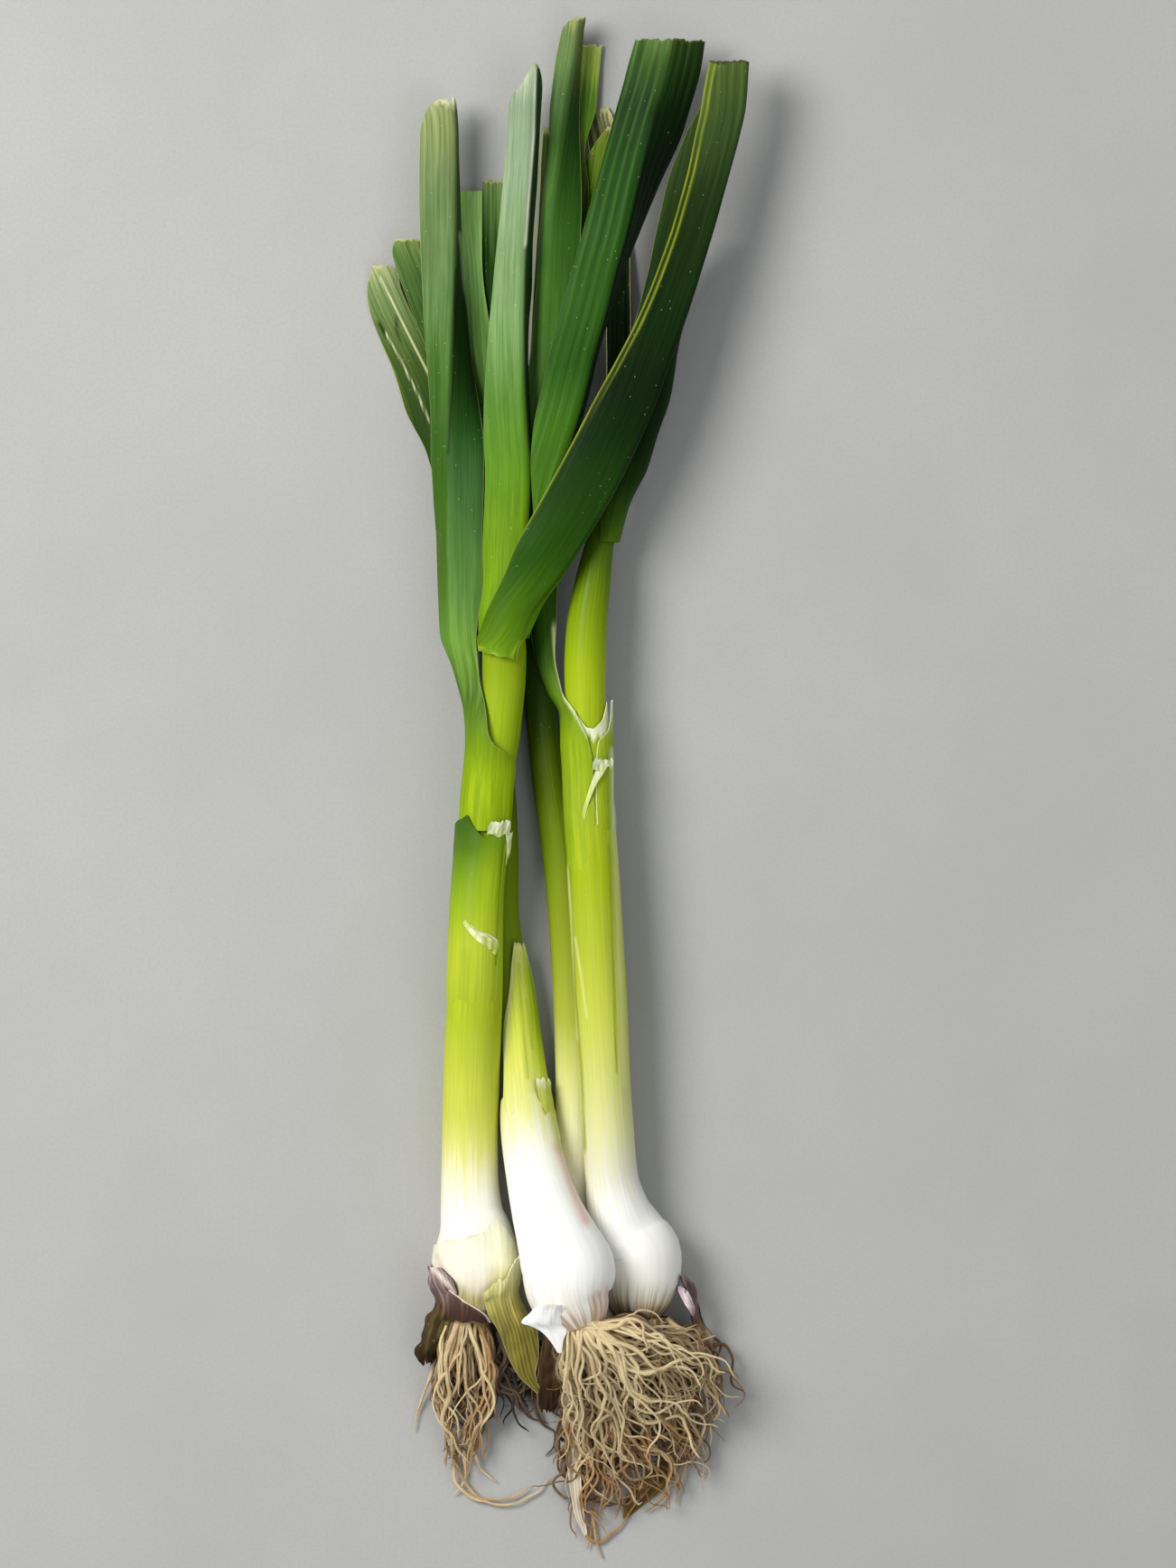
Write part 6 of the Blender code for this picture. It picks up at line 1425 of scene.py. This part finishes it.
# The most painted shade that a root deep in the pile gets, and the painted shade on a stray.
DEEPEST_SHADE, STRAY_SHADE = 0.97, 0.05
SEEDS = 9999


def stalk_top(x, y, low):
    """Height of the highest bulb lying below a root at x, y, or low where there is none."""
    height = low
    for rows in BENEATH:
        line = np.array(rows)
        if not line[0, 1] - 1.5 < y < line[-1, 1]:
            continue
        cx, cz, radius = (float(np.interp(y, line[:, 1], line[:, axis])) for axis in (0, 2, 3))
        radius += ROOT_CLEARANCE
        if abs(x - cx) < radius:
            height = max(height, cz + math.sqrt(radius ** 2 - (x - cx) ** 2))
    return height


def grown_root(draw, tuft):
    """Path of one root from its plate out over the pile, and how deep in the pile it lies."""
    cx, y, cz = tuft["plate"]
    wide, tall = tuft["plate_size"]
    turn, far = math.radians(draw.gauss(90.0, 75.0)), draw.random() ** 0.4
    side, up = far * math.cos(turn), far * math.sin(turn)
    x, z = cx + wide * side, cz + tall * up
    low, high = tuft["heading"]
    share = min(1.25, max(-0.25, (side + 1.0) / 2.0 + draw.gauss(0.0, 0.34)))
    aim = math.radians(low + (high - low) * share)
    heading = aim * 0.5 + math.radians(draw.gauss(0.0, 10.0))
    layer = min(1.0, max(0.0, 0.5 + 0.45 * up + draw.gauss(0.0, 0.2)))
    length = draw.uniform(*tuft["length"])
    curl = draw.choice((-1.0, 1.0)) * draw.uniform(0.0, 1.6) ** 2
    border = np.array(tuft["border"], dtype=float)[::-1]
    foot = border[0, 0] + FOOT_REACH
    drift = [draw.uniform(0.0, math.tau) for _ in ROOT_WAVES]
    pace = [draw.uniform(slow, fast) for _, slow, fast in ROOT_WAVES]
    path = [(x, y, z)]
    travelled = 0.0
    while travelled < length:
        travelled += ROOT_STEP
        loose = min(1.0, travelled / LOOSE_LENGTH)
        sway = 0.0
        for (strength, _, _), rate, start in zip(ROOT_WAVES, pace, drift):
            sway += strength * math.sin(rate * travelled + start)
        sway *= tuft["sway"] * (1.5 - 0.7 * layer)
        if draw.random() < KINK_CHANCE * loose:
            heading += draw.gauss(0.0, 0.7)
        want = aim + sway * (0.15 + 0.85 * loose) + 1.4 * curl * max(0.0, travelled / length - 0.55)
        lowest, highest, pile = (float(np.interp(y, border[:, 0], border[:, k])) for k in (1, 2, 3))
        if x < lowest + BORDER_REACH:
            want += BORDER_TURN * min(BORDER_REACH, lowest + BORDER_REACH - x)
        if x > highest - BORDER_REACH:
            want -= BORDER_TURN * min(BORDER_REACH, x - highest + BORDER_REACH)
        if y < foot:
            want += math.copysign(FOOT_TURN * (foot - y), sway)
        heading += (want - heading) * min(1.0, ROOT_STEP / TURN_LENGTH)
        x += ROOT_STEP * math.sin(heading)
        y -= ROOT_STEP * math.cos(heading)
        rest = ROOT_REST + layer * max(0.4, pile - ROOT_REST)
        rest += 0.6 * math.sin(pace[1] * travelled * 1.7 + drift[2])
        z += (rest - z) * min(1.0, ROOT_STEP / FALL_LENGTH)
        z = max(z, stalk_top(x, y, ROOT_CLEARANCE))
        path.append((x, y, z))
    return np.array(path), 1.0 - layer


def root_plate(tuft):
    """The lumpy plate that a tuft grows from: rings, faces and marks."""
    cx, y, cz = tuft["plate"]
    spine = np.array([(cx, y - down, cz) for down, _ in PLATE_PROFILE])
    radii = (min(tuft["plate_size"]) - PLATE_INSET) * np.array([share for _, share in PLATE_PROFILE])
    rings, walls, _ = tube_parts(spine, radii, PLATE_SIDES)
    lumps = 1.0 + 0.1 * ripple(tuft["seed"], rings[:, 0:1] / 1.6, rings[:, 2:3] / 1.6)
    rings = (rings - spine[0]) * np.concatenate([lumps, np.ones_like(lumps), lumps], axis=1) + spine[0]
    wall = rings[:-2]
    # The plate's deep mark of 0.4 is painted shade under the bulb.
    return rings, walls, {"grain": wall, "tone": np.full(len(wall), 0.12), "deep": np.full(len(wall), 0.4)}


def fine_root(draw, path, size, deep, dark):
    """One uneven, tapering root along a path: rings, faces and marks."""
    count = len(path)
    share = np.linspace(0.0, 1.0, count)
    radii = size * (1.0 - ROOT_TAPER * share ** 1.4)
    radii *= 1.0 + ROOT_LUMPS * ripple(draw.randrange(SEEDS), share * 9.0)
    radii[-1] *= 0.35
    wiggle = [ripple(draw.randrange(SEEDS), share * count / 4.0) for _ in range(3)]
    path = path + ROOT_WIGGLE * np.stack(wiggle, axis=1) * smooth(share * 6.0)[:, None]
    path[:, 2] = np.maximum(path[:, 2], radii + TABLE_GAP)
    rings, walls, angle = tube_parts(path, radii, ROOT_SIDES)
    start = draw.uniform(0.0, 400.0)
    grain = np.stack([np.tile(np.cos(angle), count) + start, np.tile(np.sin(angle), count),
                      np.repeat(run_along(path), ROOT_SIDES)], axis=1)
    # A root's tone falls with its depth in the pile as painted shade, and at random as its own tone; fade is
    # painted shade, less towards the root's end.
    tone = min(1.0, max(0.0, draw.gauss(1.0 - 0.7 * deep, 0.16) - dark * draw.random()))
    fade = np.repeat(np.clip(deep * (1.0 - 0.4 * share), 0.0, 1.0), ROOT_SIDES)
    return rings, walls, {"grain": grain, "tone": np.full(len(grain), tone), "deep": fade}


def joined_tubes(name, tubes):
    """One mesh of many closed tubes, each with its rings, faces and marks."""
    faces, marks, count = [], {}, 0
    for rings, walls, own in tubes:
        faces += [[point + count for point in face] for face in walls]
        count += len(rings)
        for mark, values in own.items():
            marks.setdefault(mark, []).append(np.concatenate([values, values[:1], values[-1:]]))
    vertices = np.concatenate([rings for rings, _, _ in tubes])
    return make_mesh(name, vertices, faces, {mark: np.concatenate(parts) for mark, parts in marks.items()})


def tuft_mesh(name, tuft):
    """The root plate and all the roots of one tuft in one mesh."""
    draw = random.Random(tuft["seed"])
    thick = sizes().root_thickness / MM / 2.0
    roots = []
    for _ in range(max(1, round(tuft["count"] * sizes().root_density))):
        path, deep = grown_root(draw, tuft)
        shade = 2.0 * deep ** 1.1 + 0.4 * tuft["dark"] * draw.random() ** 2
        roots.append((path, thick * draw.uniform(*ROOT_SIZES), min(DEEPEST_SHADE, shade)))
    for stray in tuft["strays"]:
        roots.append((resample(stray, ROOT_STEP), thick * STRAY_SIZE, STRAY_SHADE))
    return joined_tubes(name, [root_plate(tuft)] + [fine_root(draw, *root, tuft["dark"]) for root in roots])


def add_roots():
    """Builds the five tufts in place of their CAD nodes."""
    own = colours()
    straw = root_finish("straw_root_finish", tuple(own.straw), tuple(own.straw_deep), tuple(own.deep_root_shade))
    dark = root_finish("dark_root_finish", tint(112, 88, 66), tint(50, 36, 26), tint(18, 13, 10))
    for node, tuft in TUFTS.items():
        finish = dark if tuft["slot"] == "root_dark" else straw
        place_piece(node + "_fine", tuft_mesh(node + "_fine", tuft), finish, tuft["slot"], node)


# Stage: floor, light and camera, in metres.
FLOOR_HALF = 4.5
FLOOR_CLOUDS, FLOOR_DUST = 0.93, 0.86
SKY_COLOUR, SKY_STRENGTH = (0.93, 0.96, 1.0, 1.0), 0.4
SENSOR_WIDTH = 36.0
CLIP_END = 30.0
# Height above the table at which a pixel shows PIXEL_MM.
SCALE_HEIGHT = 0.018
IMAGE_SPAN = IMAGE_HEIGHT * PIXEL_MM * MM
# Round lamps that shine at the middle of the table: place, width, power in watts and colour.
LAMPS = {
    "key": ((-1.0, 0.55, 1.35), 0.95, 29.5, (1.0, 0.985, 0.96)),
    "fill": ((0.9, -0.7, 1.5), 1.2, 4.0, (0.95, 0.98, 1.0)),
}


def floor_finish():
    """Matte pale grey with a faint mottle."""
    material, tree, shader = new_material("floor_finish")
    place = add(tree, "ShaderNodeNewGeometry").outputs["Position"]
    cloud = noise(tree, place, 3.0, 0.6, 9.0)
    dust = noise(tree, place, 2.0, 0.6, 900.0)
    base = tuple(colours().floor)
    colour = blend(tree, span(tree, cloud, 0.3, 0.7), base, tuple(part * FLOOR_CLOUDS for part in base))
    grey = tuple(part * FLOOR_DUST for part in base)
    colour = blend(tree, span(tree, dust, 0.3, 0.75, 0.0, 0.35), colour, grey)
    tree.links.new(colour, shader.inputs["Base Color"])
    tree.links.new(span(tree, dust, 0.3, 0.7, 0.62, 0.8), shader.inputs["Roughness"])
    add_relief(tree, shader, 0.25, dust)
    return material


def add_object(name, data):
    """A new object of the scene."""
    thing = bpy.data.objects.new(name, data)
    bpy.context.scene.collection.objects.link(thing)
    return thing


def add_lamp(name, place, size, power, colour):
    """A round lamp that shines at the middle of the table."""
    lamp = bpy.data.lights.new(name, "AREA")
    lamp.shape, lamp.size, lamp.energy, lamp.color = "DISK", size, power, colour
    holder = add_object(name, lamp)
    holder.location = place
    holder.rotation_euler = (-Vector(place)).to_track_quat("-Z", "Y").to_euler()


def add_stage():
    """Builds the floor, the sky, the lamps and the camera straight above the middle of the frame."""
    scene = bpy.context.scene
    scene.view_settings.view_transform = "Standard"
    mesh = bpy.data.meshes.new("floor")
    corners = [(FLOOR_HALF * x, FLOOR_HALF * y, 0) for x, y in ((-1, -1), (1, -1), (1, 1), (-1, 1))]
    mesh.from_pydata(corners, [], [(0, 1, 2, 3)])
    mesh.materials.append(floor_finish())
    floor = add_object("floor", mesh)
    world = bpy.data.worlds.new("studio")
    world.use_nodes = True
    sky = world.node_tree.nodes["Background"].inputs
    sky["Color"].default_value, sky["Strength"].default_value = SKY_COLOUR, SKY_STRENGTH
    scene.world = world
    for name, values in LAMPS.items():
        add_lamp(name, *values)
    height = sizes().camera_height
    camera = bpy.data.cameras.new("camera")
    camera.sensor_width = SENSOR_WIDTH
    camera.lens = SENSOR_WIDTH * (height - SCALE_HEIGHT) / IMAGE_SPAN
    camera.clip_end = CLIP_END
    holder = add_object("camera", camera)
    holder.location = ((IMAGE_WIDTH / 2.0 - MIDDLE_COLUMN) * PIXEL_MM * MM,
                       (MIDDLE_ROW - IMAGE_HEIGHT / 2.0) * PIXEL_MM * MM, height)
    scene.camera = holder


class GARLIC_OT_stalks(bpy.types.Operator):
    """Add the four stalks, bulb and stem in one"""
    bl_idname = "garlic.stalks"
    bl_label = "Stalks"

    def execute(self, context):
        add_stalks()
        return {"FINISHED"}


class GARLIC_OT_leaves_a(bpy.types.Operator):
    """Add the four broad leaves of plant a"""
    bl_idname = "garlic.leaves_a"
    bl_label = "Leaves of plant a"

    def execute(self, context):
        add_leaves(LEAVES_A)
        return {"FINISHED"}


class GARLIC_OT_leaves_b(bpy.types.Operator):
    """Add the four leaves of plant b"""
    bl_idname = "garlic.leaves_b"
    bl_label = "Leaves of plant b"

    def execute(self, context):
        add_leaves(LEAVES_B)
        return {"FINISHED"}


class GARLIC_OT_leaves_c(bpy.types.Operator):
    """Add the three leaves of plant c"""
    bl_idname = "garlic.leaves_c"
    bl_label = "Leaves of plant c"

    def execute(self, context):
        add_leaves(LEAVES_C)
        return {"FINISHED"}


class GARLIC_OT_leaves_d(bpy.types.Operator):
    """Add the three narrow leaves of plant d"""
    bl_idname = "garlic.leaves_d"
    bl_label = "Leaves of plant d"

    def execute(self, context):
        add_leaves(LEAVES_D)
        return {"FINISHED"}


class GARLIC_OT_skins(bpy.types.Operator):
    """Add the torn sheaths and the dry skins at the bulbs"""
    bl_idname = "garlic.skins"
    bl_label = "Sheaths and skins"

    def execute(self, context):
        add_blades(SKINS)
        add_blades(EXTRA_SKINS)
        return {"FINISHED"}


class GARLIC_OT_wraps(bpy.types.Operator):
    """Add the thin skins that lie close round the stalks"""
    bl_idname = "garlic.wraps"
    bl_label = "Close skins"

    def execute(self, context):
        add_wraps()
        return {"FINISHED"}


class GARLIC_OT_roots(bpy.types.Operator):
    """Add the five tufts of roots"""
    bl_idname = "garlic.roots"
    bl_label = "Roots"

    def execute(self, context):
        add_roots()
        return {"FINISHED"}


class GARLIC_OT_stage(bpy.types.Operator):
    """Add the floor, the lights and the camera"""
    bl_idname = "garlic.stage"
    bl_label = "Stage"

    def execute(self, context):
        add_stage()
        return {"FINISHED"}


OPERATORS = (GARLIC_OT_stalks, GARLIC_OT_leaves_a, GARLIC_OT_leaves_b, GARLIC_OT_leaves_c, GARLIC_OT_leaves_d,
             GARLIC_OT_skins, GARLIC_OT_wraps, GARLIC_OT_roots, GARLIC_OT_stage)


class GARLIC_PT_panel(bpy.types.Panel):
    """Sizes, colours and pieces of the bunch"""
    bl_label = "Green garlic"
    bl_idname = "GARLIC_PT_panel"
    bl_space_type = "VIEW_3D"
    bl_region_type = "UI"
    bl_category = "Garlic"

    def draw(self, context):
        for values in (sizes(), colours()):
            box = self.layout.box()
            for name in values.bl_rna.properties.keys():
                if name not in ("name", "rna_type"):
                    box.prop(values, name)
        for operator in OPERATORS:
            self.layout.operator(operator.bl_idname)


CLASSES = (GarlicSizes, GarlicColours, *OPERATORS, GARLIC_PT_panel)


def register():
    for kind in CLASSES:
        bpy.utils.register_class(kind)
    bpy.types.Scene.garlic_sizes = PointerProperty(type=GarlicSizes)
    bpy.types.Scene.garlic_colours = PointerProperty(type=GarlicColours)


def unregister():
    del bpy.types.Scene.garlic_colours
    del bpy.types.Scene.garlic_sizes
    for kind in reversed(CLASSES):
        bpy.utils.unregister_class(kind)


def main():
    register()
    bpy.ops.garlic.stalks()
    bpy.ops.garlic.leaves_a()
    bpy.ops.garlic.leaves_b()
    bpy.ops.garlic.leaves_c()
    bpy.ops.garlic.leaves_d()
    bpy.ops.garlic.skins()
    bpy.ops.garlic.wraps()
    bpy.ops.garlic.roots()
    bpy.ops.garlic.stage()


if __name__ == "__main__":
    main()
